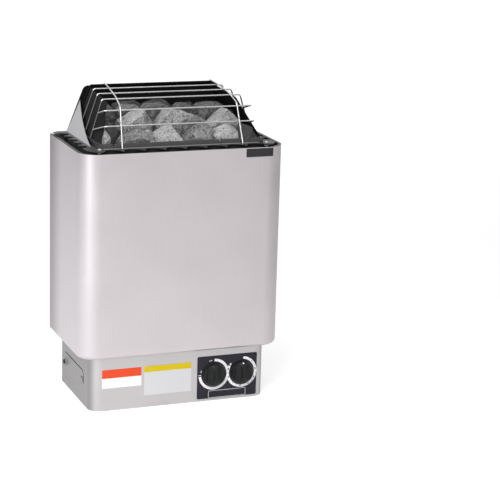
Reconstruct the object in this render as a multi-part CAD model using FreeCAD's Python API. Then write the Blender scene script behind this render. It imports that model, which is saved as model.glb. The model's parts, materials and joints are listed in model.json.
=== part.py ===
# Wall-hung electric sauna heater: steel casing, connection box, stone chamber, wire guard and wall rack.
# Millimetres, +Z up, the front faces -Y. The origin is the middle of the overall box, on its bottom face.
import FreeCAD, Part
import math
import os
import random

Vector = FreeCAD.Vector

# Clearances
sheet_gap = 0.2
screw_gap = 0.1
running_gap = 0.05
weld_gap = 0.15
element_clearance = 1.0
overcut = 1.0
same_place = 1e-6
shortest_edge = 1e-4

# Outer casing
casing_width = 410.0
casing_depth = 226.0
casing_height = 401.0
casing_corner_radius = 37.0
casing_bottom_round = 8.0
casing_sheet = 1.0
casing_top_hem = 6.0
casing_bottom_lip = 12.0
casing_back_flange = 15.0

# Connection box
box_width = 361.0
box_visible_height = 109.5
box_overlap = 8.5
box_front_setback = 18.0
box_back_setback = 5.0
box_corner_radius = 24.0
box_sheet = 1.0
box_lip = 12.0
box_rear_tab_height = 36.0
bottom_cover_thickness = 1.0
cover_slot_columns = 13
cover_slot_pitch = 18.0
cover_slot_width = 4.0
cover_slot_length = 60.0
top_plate_thickness = 1.2

# Break-out line on the left side of the box
break_line_width = 1.2
break_line_start = 67.5
break_line_length = 130.0
break_line_height = 69.0
break_line_drop = 26.0
break_line_radius = 10.0
break_notch_lengths = (19.0, 9.0)
break_notch_start = 6.0
break_notch_spacing = 5.0

# Control plate and the two dials
plate_width = 125.5
plate_right_gap = 17.5
plate_bottom = 5.0
plate_top = 92.5
plate_corner_radius = 3.0
plate_thickness = 0.8
thermostat_from_plate = 34.5
dial_spacing = 58.5
dial_height = 54.5
knob_radius = 24.5
knob_height = 18.0
knob_rim_height = 8.0
knob_base_height = 7.0
knob_fin_thickness = 8.0
knob_edge_round = 1.2
knob_wall = 3.0
knob_cavity_depth = 4.0
knob_hub_radius = 7.0
knob_gap = 1.0
spindle_radius = 3.0
spindle_flat = 0.8
spindle_grip = 12.0
spindle_seat = 18.0
spindle_hole_radius = 4.0
control_screw_offset = 14.0
thermostat_size = (42.0, 34.0, 40.0)
timer_size = (46.0, 46.0, 50.0)
control_corner_radius = 2.0
spindle_end_gap = 0.5
blade_width = 6.0
blade_length = 8.0
blade_thickness = 0.8

# Overheat limiter on the left side
reset_from_front = 192.0
reset_height = 50.0
limiter_radius = 15.0
limiter_length = 26.0
limiter_neck_radius = 5.5
limiter_neck_reach = 4.5
limiter_nut_flats = 14.0
limiter_nut_thickness = 3.0
reset_button_radius = 3.0
reset_button_proud = 1.8
reset_stem_length = 12.0
reset_flange_radius = 4.4
reset_flange_thickness = 1.2
reset_travel = 2.5
reset_floor_gap = 1.0
reset_crown_round = 0.8

# Stickers
sticker_thickness = 0.3
left_sticker_inset = 23.0
left_sticker_width = 79.5
left_sticker_bottom = 45.8
left_sticker_top = 83.3
sticker_gap = 5.7
sticker_plate_gap = 12.9
right_sticker_bottom = 24.5
right_sticker_top = 83.6
casing_sticker_inset = 28.1
casing_sticker_width = 55.6
casing_sticker_drop = 2.0
casing_sticker_height = 16.5
sticker_corner_radius = 1.5

# Stone chamber
jacket_sheet = 1.2
jacket_width = 332.0
jacket_front_gap = 30.0
jacket_back_gap = 14.0
jacket_corner_radius = 6.0
air_window_bottom = 10.0
air_window_height = 44.0
air_window_post = 24.0
shield_sheet = 0.8
shield_width = 352.0
shield_front_gap = 24.0
shield_back_gap = 4.0
shield_tab_gap = 2.0
grate_rise = 70.0
grate_thickness = 2.0
grate_slot_width = 6.0
grate_slot_pitch = 22.0
grate_slot_side_gap = 30.0
grate_slot_end_gap = 20.0
support_leg = 14.0
support_thickness = 1.5

# Vent comb on top of the chamber
comb_rise = 4.0
comb_thickness = 1.5
comb_front_gap = 4.0
comb_side_gap = 15.0
comb_back_gap = 2.0
comb_corner_radius = 28.0
comb_front_scallop = 18.5
comb_front_pitch = 41.0
comb_front_count = 8
comb_side_scallop = 13.0
comb_side_pitch = 32.0
comb_side_count = 5
comb_side_start = 62.0
comb_ear_length = 24.0
comb_ear_width = 11.0
comb_ear_slant = 7.0

# Wire guard, with heights above the casing's top
guard_base_half = 172.0
guard_lean = 0.42
guard_sheet = 1.0
guard_back_height = 93.0
guard_back_top_half = 137.0
guard_back_gap = 3.0
guard_back_hem = 6.0
guard_back_corner = 12.0
side_plate_back_height = 67.0
side_plate_mid_height = 32.5
side_plate_mid_place = 150.0
side_plate_tip_place = 57.0
rail_front_gap = 25.0
rail_thickness = 2.0
rail_height = 10.0
rail_half = 165.0
rail_tab = 16.0
rail_notches = (-137.0, -76.0, 76.0, 137.0)
rail_notch_width = 3.0
rail_notch_depth = 4.0
side_rail_half = 164.0
side_rail_width = 6.0
inner_plate_drop = 4.5
inner_plate_toe = 30.0
wire_radius = 1.4
wire_slack = 1.08
wire_bend_radius = 4.5
first_bar_back_gap = 15.0
bar_pitch = 40.0
bar_heights = (95.5, 94.5, 91.5, 87.5)
bar_halves = (127.5, 132.5, 136.5, 140.0)
leg_foot_half = 162.0
front_bar_heights = (73.0, 45.0)
front_bar_halves = (148.0, 150.0)
front_bar_drops = (11.0, 14.5)
front_bar_weld_gap = 0.7
upright_top_half = 117.0
upright_bottom_half = 121.0
upright_left_lean = 18.0
upright_right_lean = 5.0
upright_bend_place = 49.0
upright_bend_height = 80.0
upright_bend_radius = 12.0

# Heating elements
element_radius = 4.0
element_pitch = 45.0
element_count = 3
element_wall_gap = 29.8
element_top_straight = 10.0
element_floor_gap = 25.0
element_top_below_casing = 82.0
element_tail = 26.0
element_nut_flats = 17.0
element_nut_thickness = 5.0
element_neck_spare = 3.0
element_neck_radius = 6.0
terminal_bead_length = 4.0
terminal_pin_radius = 2.0
terminal_pin_length = 14.0
strip_width = 12.0
strip_thickness = 1.2
strip_below_bead = 3.0

# Stones
stone_gap = 0.3
lower_stone_seed = 11
upper_stone_seed = 16
lower_stone_columns = 5
lower_stone_rows = 4
upper_stone_columns = 6
upper_stone_files = 3
pile_clearance = 1.5
stone_pile_height = 66.0
stone_layer_height = 68.0
lower_stone_wobble = 0.16
upper_stone_wobble = 0.33
upper_stone_stagger = 0.2
upper_stone_tilt = 0.6
lower_stone_chips = 7
upper_stone_chips = 11
stone_chip_reach = (0.7, 0.88)
stone_top_reach = (0.35, 0.62)
corner_plane_angles = (22.5, 45.0, 67.5)

# Wall rack
wall_gap = 38.0
rack_sheet = 2.0
rack_half_width = 130.0
rack_bottom = 260.0
rack_height = 210.0
rack_hole_radius = 3.5
rack_hole_spacing_x = 210.0
rack_hole_spacing_z = 150.0
hook_height = 9.0
hook_lip = 8.0
hook_lip_thickness = 3.0
hook_room = 4.0
hook_side_gap = 1.0
hook_offsets = (40.0, 170.0)
lock_tab_width = 30.0
lock_tab_drop = 22.0

# Screws
screw_radius = 2.0
screw_head_radius = 3.8
screw_head_height = 2.4
screw_length = 8.0
small_screw_radius = 1.5
small_screw_head_radius = 2.9
small_screw_head_height = 1.8
small_screw_length = 9.0
spacer_radius = 5.0
rim_nut_flats = 7.0
rim_nut_thickness = 3.0
link_screw_grip = 4.0
recess_length_share = 0.62
recess_width_share = 0.16
recess_depth_share = 0.6
countersunk_recess_share = 0.8
head_round_share = 0.45
rear_screw_end_gap = 45.0
link_screw_places = (-120.0, -45.0, 45.0, 120.0)
cover_screw_front_gap = 45.0
cover_screw_back_gap = 30.0
rim_screw_outset = 2.0
rim_screw_from_front = 13.0

# Terminal block, gland and sensor
block_width = 92.0
block_depth = 26.0
block_height = 30.0
block_from_gland = 88.0
block_z = 34.0
block_poles = 6
pole_levels = (0.3, 0.7)
pole_hole_radius = 3.4
pole_hole_depth = 10.0
pole_screw_radius = 3.2
pole_screw_height = 4.0
pole_slot_width = 1.0
pole_slot_depth = 1.0
socket_from_front = 16.0
socket_depth = 9.0
socket_floor_gap = 1.0
gland_from_side = 52.5
gland_z = 42.0
gland_radius = 11.0
gland_bore_radius = 7.5
gland_flats = 27.0
gland_flange = 7.0
gland_inside = 14.0
gland_dome = 13.0
gland_dome_outset = 1.0
gland_dome_wall = 1.5
gland_nut_thickness = 5.0
bulb_radius = 3.0
bulb_length = 90.0
bulb_x = 100.0
bulb_bottom = 330.0
bulb_end_round = 1.5
clip_sheet = 1.0
clip_width = 12.0
clip_foot = 16.0
clip_hole_place = 11.0
capillary_radius = 1.0
capillary_bend_radius = 12.0
capillary_offset = 8.0
capillary_hole_forward = 5.0
capillary_rise = 40.0
capillary_crossing = 100.0
lead_radius = 1.6
lead_bend_radius = 5.5
lead_drop = 10.0
lead_sweep = (24.0, -3.0, -4.0)
lead_arrival = (-14.0, -22.0, 22.0)
lead_rise = 20.0
neutral_lead_run = 12.0
neutral_lead_sweep = (-30.0, 3.0, -3.0)
neutral_lead_arrival = (24.0, -2.0, 26.0)
neutral_lead_rise = 22.0

# Places worked out from the sizes above
box_half = box_width / 2
casing_half = casing_width / 2
plate_right = box_half - plate_right_gap
plate_left = plate_right - plate_width
thermostat_x = plate_left + thermostat_from_plate
timer_x = thermostat_x + dial_spacing
gland_x = -box_half + gland_from_side
block_x = gland_x + block_from_gland
knob_reach = knob_height + knob_gap + plate_thickness - box_front_setback
overall_depth = knob_reach + casing_depth + wall_gap
casing_front = knob_reach - overall_depth / 2
casing_back = casing_front + casing_depth
wall_face = casing_back + wall_gap
casing_bottom = box_visible_height
casing_top = casing_bottom + casing_height
box_front = casing_front + box_front_setback
box_back = casing_back - box_back_setback
box_top = box_visible_height + box_overlap
deck = box_top + top_plate_thickness
rear_panel_front = casing_back - 2 * casing_sheet - sheet_gap
rear_panel_back = rear_panel_front + casing_sheet
box_panel_front = box_back - 2 * box_sheet - sheet_gap
box_panel_back = box_panel_front + box_sheet
plate_face = box_front - plate_thickness
dial_inside = box_front + box_sheet
jacket_half = jacket_width / 2
jacket_front = casing_front + jacket_front_gap
jacket_back = casing_back - jacket_back_gap
chamber_half = jacket_half - jacket_sheet
chamber_front = jacket_front + jacket_sheet
chamber_back = jacket_back - jacket_sheet
chamber_middle = (chamber_front + chamber_back) / 2
grate_bottom = deck + grate_rise
grate_top = grate_bottom + grate_thickness
comb_top = casing_top + comb_rise
comb_bottom = comb_top - comb_thickness
rail_front = casing_front + rail_front_gap
rail_back = rail_front + rail_thickness
rail_top = comb_top + rail_height
guard_back = casing_back - guard_back_gap
first_bar_y = casing_back - first_bar_back_gap
shield_half = shield_width / 2
rack_front = casing_back + sheet_gap
rack_back_face = wall_face - rack_sheet
wire_pitch = 2 * wire_radius + weld_gap
element_nut_reach = element_nut_flats / math.sqrt(3)
element_end_x = min(chamber_half - element_wall_gap, box_half - box_lip - element_nut_reach - sheet_gap)
element_turn_x = element_end_x / 3
element_bend_radius = (element_end_x - element_turn_x - element_top_straight) / 2
left_sticker_left = -box_half + left_sticker_inset
left_sticker_right = left_sticker_left + left_sticker_width
left_sticker_box = (left_sticker_left, left_sticker_bottom, left_sticker_right, left_sticker_top)
right_sticker_box = (left_sticker_right + sticker_gap, right_sticker_bottom, plate_left - sticker_plate_gap,
                     right_sticker_top)
casing_sticker_right = casing_half - casing_sticker_inset
casing_sticker_level = casing_top - casing_sticker_drop
casing_sticker_box = (casing_sticker_right - casing_sticker_width, casing_sticker_level - casing_sticker_height,
                      casing_sticker_right, casing_sticker_level)
element_top = casing_top - element_top_below_casing
element_foot = box_top - element_tail
pin_top = element_foot - terminal_bead_length
strip_top = pin_top - strip_below_bead
socket_y = box_panel_front - block_depth + socket_from_front
lock_screw_z = rack_bottom - lock_tab_drop / 2

os.makedirs("parts", exist_ok=True)


def box_between(low, high):
    low_corner = Vector(*low)
    size = Vector(*high) - low_corner
    return Part.makeBox(size.x, size.y, size.z, low_corner)


def rod(start, end, radius):
    axis = Vector(*end) - Vector(*start)
    return Part.makeCylinder(radius, axis.Length, Vector(*start), axis)


def hole_along_y(x, z, front, back, radius):
    """Round cutter that passes both faces."""
    return rod((x, front - overcut, z), (x, back + overcut, z), radius)


def hole_along_z(x, y, bottom, top, radius):
    """Round cutter that passes both faces."""
    return rod((x, y, bottom - overcut), (x, y, top + overcut), radius)


def aim(shape, point, direction):
    """Move a shape built along +Z at the origin so that +Z points along the direction."""
    turn = FreeCAD.Rotation(Vector(0, 0, 1), Vector(*direction))
    shape.Placement = FreeCAD.Placement(Vector(*point), turn)
    return shape


def mirrored(shape):
    return shape.mirror(Vector(0, 0, 0), Vector(1, 0, 0))


def joined(shapes):
    return shapes[0].fuse(shapes[1:]).removeSplitter() if len(shapes) > 1 else shapes[0]


def grouped(shapes):
    return Part.makeCompound(shapes)


def corner_arc(before, corner, after, radius):
    """Tangent points and middle of the arc that rounds a corner."""
    back = (before - corner).normalize()
    ahead = (after - corner).normalize()
    half_angle = back.getAngle(ahead) / 2
    reach = radius / math.tan(half_angle)
    inward = (back + ahead).normalize()
    centre = corner + inward * (radius / math.sin(half_angle))
    return corner + back * reach, centre - inward * radius, corner + ahead * reach


def rounded_edges(points, radii, closed):
    """Straight and arc edges along 3-D points, with a radius at each point (0 keeps it sharp)."""
    count = len(points)
    arcs = []
    for index, point in enumerate(points):
        if radii[index] > 0:
            arcs.append(corner_arc(points[index - 1], point, points[(index + 1) % count], radii[index]))
        else:
            arcs.append((point, None, point))
    edges = []
    for index, (start, middle, end) in enumerate(arcs):
        if middle is not None:
            edges.append(Part.Arc(start, middle, end).toShape())
        if index + 1 < count or closed:
            following = arcs[(index + 1) % count][0]
            if end.distanceToPoint(following) > same_place:
                edges.append(Part.LineSegment(end, following).toShape())
    return edges


def flat_face(points, radii):
    return Part.Face(Part.Wire(rounded_edges(points, radii, True)))


def plan_prism(half, front, back, corner, bottom, top):
    """Upright block with its two front corners rounded."""
    plan = [(-half, back), (-half, front), (half, front), (half, back)]
    points = [Vector(x, y, bottom) for x, y in plan]
    return flat_face(points, (0, corner, corner, 0)).extrude(Vector(0, 0, top - bottom))


def front_prism(x0, z0, x1, z1, radius, front, back):
    """Block along Y whose X-Z outline has rounded corners."""
    points = [Vector(x, front, z) for x, z in ((x0, z0), (x1, z0), (x1, z1), (x0, z1))]
    return flat_face(points, (radius,) * 4).extrude(Vector(0, back - front, 0))


def bent_rod(points, bend_radius, radius):
    """Round bar along straight runs joined by tangent arcs."""
    path = [Vector(*point) for point in points]
    radii = [0] + [bend_radius] * (len(path) - 2) + [0]
    wire = Part.Wire(rounded_edges(path, radii, False))
    section = Part.Wire(Part.Circle(path[0], path[1] - path[0], radius).toShape())
    tube = wire.makePipeShell([section], True, False)
    expected = math.pi * radius ** 2 * wire.Length
    if abs(tube.Volume / expected - 1) > 0.01:
        print("bar volume is off:", tube.Volume, expected)
    return tube


def hexagon(flats, length):
    corner = flats / math.sqrt(3)
    points = [Vector(corner * math.cos(math.pi * k / 3), corner * math.sin(math.pi * k / 3), 0) for k in range(6)]
    return flat_face(points, (0,) * 6).extrude(Vector(0, 0, length))


def cross_recess(head_radius, top, depth):
    long_side = recess_length_share * head_radius
    short_side = recess_width_share * head_radius
    first = box_between((-long_side, -short_side, top - depth), (long_side, short_side, top + overcut))
    second = box_between((-short_side, -long_side, top - depth), (short_side, long_side, top + overcut))
    return first.fuse(second)


def pan_screw(seat, outward, radius, head_radius, head_height, length):
    head = Part.makeCylinder(head_radius, head_height)
    head = head.makeFillet(head_height * head_round_share, [head.Edges[0]])
    shank = Part.makeCylinder(radius, length, Vector(0, 0, -length))
    body = head.fuse(shank).cut(cross_recess(head_radius, head_height, head_height * recess_depth_share))
    return aim(body, seat, outward)


def panel_screw(seat, outward):
    return pan_screw(seat, outward, screw_radius, screw_head_radius, screw_head_height, screw_length)


def small_screw(seat, outward):
    return pan_screw(seat, outward, small_screw_radius, small_screw_head_radius, small_screw_head_height,
                     small_screw_length)


def hex_nut(seat, outward, flats, thickness, bore):
    return aim(hexagon(flats, thickness).cut(Part.makeCylinder(bore, thickness)), seat, outward)


def lipped_shell(half, front, back, corner, bottom, top, sheet, bottom_lip, top_lip, back_flange, bottom_round):
    """Folded sheet with a front and two sides, and lips turned inwards at the bottom, the top and the back."""
    outer = plan_prism(half, front, back, corner, bottom, top)
    inner = plan_prism(half - sheet, front + sheet, back - sheet, corner - sheet, bottom + sheet, top - sheet)
    if bottom_round > sheet:
        outer = round_bottom(outer, bottom, back, bottom_round)
        inner = round_bottom(inner, bottom + sheet, back - sheet, bottom_round - sheet)
    shell = outer.cut(inner)
    for lip, low, high in ((bottom_lip, bottom - sheet, bottom + bottom_round + sheet),
                           (top_lip, top - 2 * sheet, top + sheet)):
        opening_corner = max(corner - lip, sheet)
        shell = shell.cut(plan_prism(half - lip, front + lip, back + sheet, opening_corner, low, high))
    window = box_between((back_flange - half, back - 2 * sheet, bottom - sheet),
                         (half - back_flange, back + sheet, top + sheet))
    return shell.cut(window)


def round_bottom(solid, level, back, radius):
    edges = []
    for edge in solid.Edges:
        ends = [vertex.Point for vertex in edge.Vertexes]
        on_level = all(abs(point.z - level) < same_place for point in ends)
        on_back = all(abs(point.y - back) < same_place for point in ends)
        if on_level and not on_back:
            edges.append(edge)
    return solid.makeFillet(radius, edges)


def skin_patch(half, front, back, corner, thickness, outline, radius):
    """Thin patch that follows the front of a shell, bounded by an X-Z outline."""
    x0, z0, x1, z1 = outline
    low = z0 - thickness
    high = z1 + thickness
    outer = plan_prism(half + thickness, front - thickness, back, corner + thickness, low, high)
    ring = outer.cut(plan_prism(half, front, back + thickness, corner, low - thickness, high + thickness))
    return ring.common(front_prism(x0, z0, x1, z1, radius, front - 2 * thickness, front + corner))


# Screw places
rear_screw_points = [(side * (casing_half - casing_back_flange / 2), height)
                     for side in (-1, 1)
                     for height in (casing_bottom + rear_screw_end_gap, (casing_bottom + casing_top) / 2,
                                    casing_top - rear_screw_end_gap)]
link_height = box_top + box_rear_tab_height / 2
link_screw_points = [(x, link_height) for x in link_screw_places]
cover_screw_points = [(side * (box_half - box_lip / 2), y)
                      for side in (-1, 1)
                      for y in (box_front + cover_screw_front_gap, (box_front + box_back) / 2,
                                box_back - cover_screw_back_gap)]
dial_places = (thermostat_x, timer_x)
control_screw_points = [(x + side * control_screw_offset, dial_height) for x in dial_places for side in (-1, 1)]
rim_screw_points = [(side * (rail_half + rim_screw_outset), casing_front + rim_screw_from_front)
                    for side in (-1, 1)]
element_rows = [chamber_middle + (row - (element_count - 1) / 2) * element_pitch for row in range(element_count)]
element_ends = [(side * element_end_x, y) for y in element_rows for side in (-1, 1)]
reset_y = casing_front + reset_from_front
capillary_x = thermostat_x + capillary_offset
capillary_y = casing_back - jacket_back_gap / 2 - capillary_hole_forward


def outer_casing():
    shell = lipped_shell(casing_half, casing_front, casing_back, casing_corner_radius, casing_bottom, casing_top,
                         casing_sheet, casing_bottom_lip, casing_top_hem, casing_back_flange, casing_bottom_round)
    for x, z in rear_screw_points:
        shell = shell.cut(rod((x, casing_back - 2 * casing_sheet, z), (x, casing_back + overcut, z),
                              screw_radius + screw_gap))
    return shell


def hook_places():
    """Rack hooks: side, and the level on which the heater's slot hangs."""
    return [(side, rack_bottom + offset) for side in (-1, 1) for offset in hook_offsets]


def rear_panel():
    half = casing_half - casing_sheet - sheet_gap
    low = casing_bottom + casing_sheet + sheet_gap
    high = casing_top - casing_sheet - sheet_gap
    panel = front_prism(-half, low, half, high, casing_bottom_round, rear_panel_front, rear_panel_back)
    for x, z in rear_screw_points + link_screw_points:
        panel = panel.cut(hole_along_y(x, z, rear_panel_front, rear_panel_back, screw_radius + screw_gap))
    for side, level in hook_places():
        near = rack_half_width - rack_sheet - hook_side_gap
        far = rack_half_width + hook_side_gap
        x0, x1 = sorted((side * near, side * far))
        slot_bottom = level - hook_height - hook_lip - 2 * hook_room
        panel = panel.cut(box_between((x0, rear_panel_front - overcut, slot_bottom),
                                      (x1, rear_panel_back + overcut, level + sheet_gap)))
    return panel.cut(hole_along_y(0, lock_screw_z, rear_panel_front, rear_panel_back, screw_radius + screw_gap))


def lower_box_shell():
    shell = lipped_shell(box_half, box_front, box_back, box_corner_radius, 0, box_top, box_sheet, box_lip, box_lip,
                         box_lip, 0)
    for x in dial_places:
        shell = shell.cut(hole_along_y(x, dial_height, box_front, dial_inside, spindle_hole_radius))
    for x, z in control_screw_points:
        shell = shell.cut(hole_along_y(x, z, box_front, dial_inside, small_screw_radius + screw_gap))
    outside = (-box_half - overcut, reset_y, reset_height)
    inside = (-box_half + box_sheet + overcut, reset_y, reset_height)
    shell = shell.cut(rod(outside, inside, limiter_neck_radius + screw_gap))
    for x, y in cover_screw_points:
        shell = shell.cut(rod((x, y, -overcut), (x, y, box_sheet + overcut), screw_radius + screw_gap))
        shell = shell.cut(Part.makeCone(screw_head_radius + screw_gap, screw_radius + screw_gap, box_sheet,
                                        Vector(x, y, 0)))
    return shell.cut(break_line())


def break_line():
    """Narrow cut that outlines a break-out flap on the left side of the box."""
    half_line = break_line_width / 2
    left = -box_half - overcut
    right = -box_half + box_sheet + overcut
    near = casing_front + break_line_start
    far = near + break_line_length
    bend_y = near + break_line_radius
    bend_z = break_line_height - break_line_radius
    along = box_between((left, bend_y, break_line_height - half_line), (right, far, break_line_height + half_line))
    low = break_line_height - break_line_drop
    down = box_between((left, near - half_line, low), (right, near + half_line, bend_z))
    ring = rod((left, bend_y, bend_z), (right, bend_y, bend_z), break_line_radius + half_line)
    ring = ring.cut(rod((left, bend_y, bend_z), (right, bend_y, bend_z), break_line_radius - half_line))
    bend = ring.common(box_between((left, near - half_line, bend_z),
                                   (right, bend_y, break_line_height + half_line)))
    cuts = [along, down, bend]
    for index, length in enumerate(break_notch_lengths):
        level = bend_z - break_notch_start - index * break_notch_spacing
        cuts.append(box_between((left, near, level - half_line), (right, near + length, level + half_line)))
    return cuts[0].fuse(cuts[1:])


def box_rear_panel():
    half = box_half - box_sheet - sheet_gap
    low = box_sheet + bottom_cover_thickness + sheet_gap
    wide = box_between((-half, box_panel_front, low), (half, box_panel_back, box_top - box_sheet - sheet_gap))
    tab_half = box_half - box_lip - sheet_gap
    tab = box_between((-tab_half, box_panel_front, low), (tab_half, box_panel_back, box_top + box_rear_tab_height))
    panel = joined([wide, tab])
    for x, z in link_screw_points:
        panel = panel.cut(hole_along_y(x, z, box_panel_front, box_panel_back, screw_radius + screw_gap))
    return panel.cut(hole_along_y(gland_x, gland_z, box_panel_front, box_panel_back, gland_radius + screw_gap))


def bottom_cover():
    half = box_half - box_sheet - sheet_gap
    cover = plan_prism(half, box_front + box_sheet + sheet_gap, box_panel_front - sheet_gap,
                       box_corner_radius - box_sheet - sheet_gap, box_sheet, box_sheet + bottom_cover_thickness)
    above = box_sheet + bottom_cover_thickness + overcut
    for x, y in cover_screw_points:
        cover = cover.cut(rod((x, y, 0), (x, y, above), screw_radius + screw_gap))
    middle = (box_front + box_back) / 2
    half_width = cover_slot_width / 2
    half_length = cover_slot_length / 2
    for column in range(cover_slot_columns):
        x = (column - (cover_slot_columns - 1) / 2) * cover_slot_pitch
        cover = cover.cut(box_between((x - half_width, middle - half_length, 0),
                                      (x + half_width, middle + half_length, above)))
    return cover


def bottom_cover_screws():
    screws = []
    for x, y in cover_screw_points:
        head = Part.makeCone(screw_head_radius, screw_radius, box_sheet, Vector(x, y, 0))
        screw = head.fuse(rod((x, y, box_sheet), (x, y, screw_length), screw_radius))
        recess = cross_recess(screw_radius, 0, box_sheet * countersunk_recess_share)
        screws.append(screw.cut(aim(recess, (x, y, 0), (0, 0, -1))))
    return grouped(screws)


def box_top_plate():
    plate = plan_prism(box_half - sheet_gap, box_front + sheet_gap, box_panel_front - sheet_gap,
                       box_corner_radius - sheet_gap, box_top, deck)
    for x, y in element_ends:
        plate = plate.cut(hole_along_z(x, y, box_top, deck, element_neck_radius + screw_gap))
    hole = hole_along_z(capillary_x, capillary_y, box_top, deck, 2 * capillary_radius)
    return plate.cut(hole)


def inner_jacket():
    outer = rounded_tube_block(jacket_half, jacket_front, jacket_back, jacket_corner_radius)
    inner = rounded_tube_block(chamber_half, chamber_front, chamber_back, jacket_corner_radius - jacket_sheet)
    jacket = outer.cut(inner)
    low = deck + air_window_bottom
    high = low + air_window_height
    for column in (-1, 0, 1):
        width = 2 * jacket_half / 3 - air_window_post
        middle = column * 2 * jacket_half / 3
        jacket = jacket.cut(box_between((middle - width / 2, jacket_front - overcut, low),
                                        (middle + width / 2, jacket_back + overcut, high)))
    depth = jacket_back - jacket_front
    for file in (-1, 1):
        middle = chamber_middle + file * depth / 4
        width = depth / 2 - air_window_post
        jacket = jacket.cut(box_between((-jacket_half - overcut, middle - width / 2, low),
                                        (jacket_half + overcut, middle + width / 2, high)))
    return jacket


def rounded_tube_block(half, front, back, corner):
    points = [Vector(x, y, deck) for x, y in ((-half, back), (-half, front), (half, front), (half, back))]
    return flat_face(points, (corner,) * 4).extrude(Vector(0, 0, comb_bottom - deck))


def heat_shield():
    front = casing_front + shield_front_gap
    back = casing_back - shield_back_gap - casing_sheet
    corner = jacket_corner_radius + shield_sheet
    outer = plan_prism(shield_half, front, back, corner, deck, comb_bottom)
    inner = plan_prism(shield_half - shield_sheet, front + shield_sheet, back + overcut, corner - shield_sheet,
                       deck - overcut, comb_bottom + overcut)
    shield = outer.cut(inner)
    tab_front = box_panel_front - sheet_gap
    tab_top = box_top + box_rear_tab_height + shield_tab_gap
    return shield.cut(box_between((-shield_half - overcut, tab_front, deck - overcut),
                                  (shield_half + overcut, back + overcut, tab_top)))


def stone_grate():
    half = chamber_half - sheet_gap
    front = chamber_front + sheet_gap
    back = chamber_back - sheet_gap
    points = [Vector(x, y, grate_bottom) for x, y in ((-half, back), (-half, front), (half, front), (half, back))]
    plate = flat_face(points, (jacket_corner_radius,) * 4).extrude(Vector(0, 0, grate_thickness))
    for x, y in element_ends:
        plate = plate.cut(hole_along_z(x, y, grate_bottom, grate_top, element_radius + element_clearance))
    slot_front = front + grate_slot_end_gap
    slot_back = back - grate_slot_end_gap
    slots = int((half - grate_slot_side_gap) // grate_slot_pitch)
    for column in range(-slots, slots + 1):
        x = column * grate_slot_pitch
        if abs(abs(x) - element_end_x) > grate_slot_width + element_radius:
            plate = plate.cut(box_between((x - grate_slot_width / 2, slot_front, grate_bottom - overcut),
                                          (x + grate_slot_width / 2, slot_back, grate_top + overcut)))
    return plate


def grate_supports():
    """Two angle strips on the chamber's side walls that carry the grate."""
    bars = []
    for side in (-1, 1):
        outer = chamber_half - sheet_gap
        inner = outer - support_leg
        x0, x1 = sorted((side * outer, side * inner))
        wall0, wall1 = sorted((side * outer, side * (outer - support_thickness)))
        front = chamber_front + jacket_corner_radius
        back = chamber_back - jacket_corner_radius
        shelf = box_between((x0, front, grate_bottom - support_thickness), (x1, back, grate_bottom))
        wall = box_between((wall0, front, grate_bottom - support_leg), (wall1, back, grate_bottom))
        bars.append(joined([shelf, wall]))
    return grouped(bars)


def comb_ear(half, back):
    """Left-hand rear corner of the comb, which widens towards the casing in front of a slanted end."""
    ear_front = back - comb_ear_length
    side = -half - comb_ear_width
    corners = ((-half, back), (side, back - comb_ear_slant), (side, ear_front), (-half, ear_front))
    points = [Vector(x, y, comb_bottom) for x, y in corners]
    return flat_face(points, (0,) * len(points)).extrude(Vector(0, 0, comb_thickness))


def vent_comb():
    half = casing_half - comb_side_gap
    front = casing_front + comb_front_gap
    back = casing_back - comb_back_gap
    ear = comb_ear(half, back)
    plate = joined([plan_prism(half, front, back, comb_corner_radius, comb_bottom, comb_top), ear, mirrored(ear)])
    corners = ((-chamber_half, chamber_back), (-chamber_half, chamber_front), (chamber_half, chamber_front),
               (chamber_half, chamber_back))
    mouth = flat_face([Vector(x, y, comb_bottom - overcut) for x, y in corners], (jacket_corner_radius,) * 4)
    plate = plate.cut(mouth.extrude(Vector(0, 0, comb_thickness + 2 * overcut)))
    cuts = []
    for index in range(comb_front_count):
        x = (index - (comb_front_count - 1) / 2) * comb_front_pitch
        cuts.append(hole_along_z(x, front, comb_bottom, comb_top, comb_front_scallop))
    for side in (-1, 1):
        for index in range(comb_side_count):
            y = casing_front + comb_side_start + index * comb_side_pitch
            cuts.append(hole_along_z(side * half, y, comb_bottom, comb_top, comb_side_scallop))
    for x, y in rim_screw_points:
        cuts.append(hole_along_z(x, y, comb_bottom, comb_top, screw_radius + screw_gap))
    return plate.cut(cuts)


def guard_front_rail():
    """Upright strip in front of the stones, with a screwed foot at each end."""
    strip = box_between((-rail_half, rail_front, comb_top), (rail_half, rail_back, rail_top))
    for x in rail_notches:
        half_notch = rail_notch_width / 2
        strip = strip.cut(box_between((x - half_notch, rail_front - overcut, rail_top - rail_notch_depth),
                                      (x + half_notch, rail_back + overcut, rail_top + overcut)))
    feet = []
    for x, y in rim_screw_points:
        foot = box_between((x - rail_tab / 2, y - rail_tab / 2, comb_top),
                           (x + rail_tab / 2, rail_back, comb_top + rail_thickness))
        feet.append(foot.cut(rod((x, y, comb_top - overcut), (x, y, rail_top), screw_radius + screw_gap)))
    return joined([strip] + feet)


def guard_side_rails():
    rails = []
    for side in (-1, 1):
        x0, x1 = sorted((side * side_rail_half, side * (side_rail_half - side_rail_width)))
        rails.append(box_between((x0, rail_back + weld_gap, comb_top),
                                 (x1, guard_back - guard_sheet - weld_gap, rail_top)))
    return grouped(rails)


def rim_screws():
    return grouped([panel_screw((x, y, comb_top + rail_thickness), (0, 0, 1)) for x, y in rim_screw_points])


def rim_nuts():
    nuts = []
    for x, y in rim_screw_points:
        nuts.append(hex_nut((x, y, comb_bottom), (0, 0, -1), rim_nut_flats, rim_nut_thickness,
                            screw_radius + screw_gap))
    return grouped(nuts)


def guard_half_at(height):
    """Half width between the outer faces of the leaning side plates, at a height above the casing's top."""
    return guard_base_half - guard_lean * (height - comb_rise)


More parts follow.
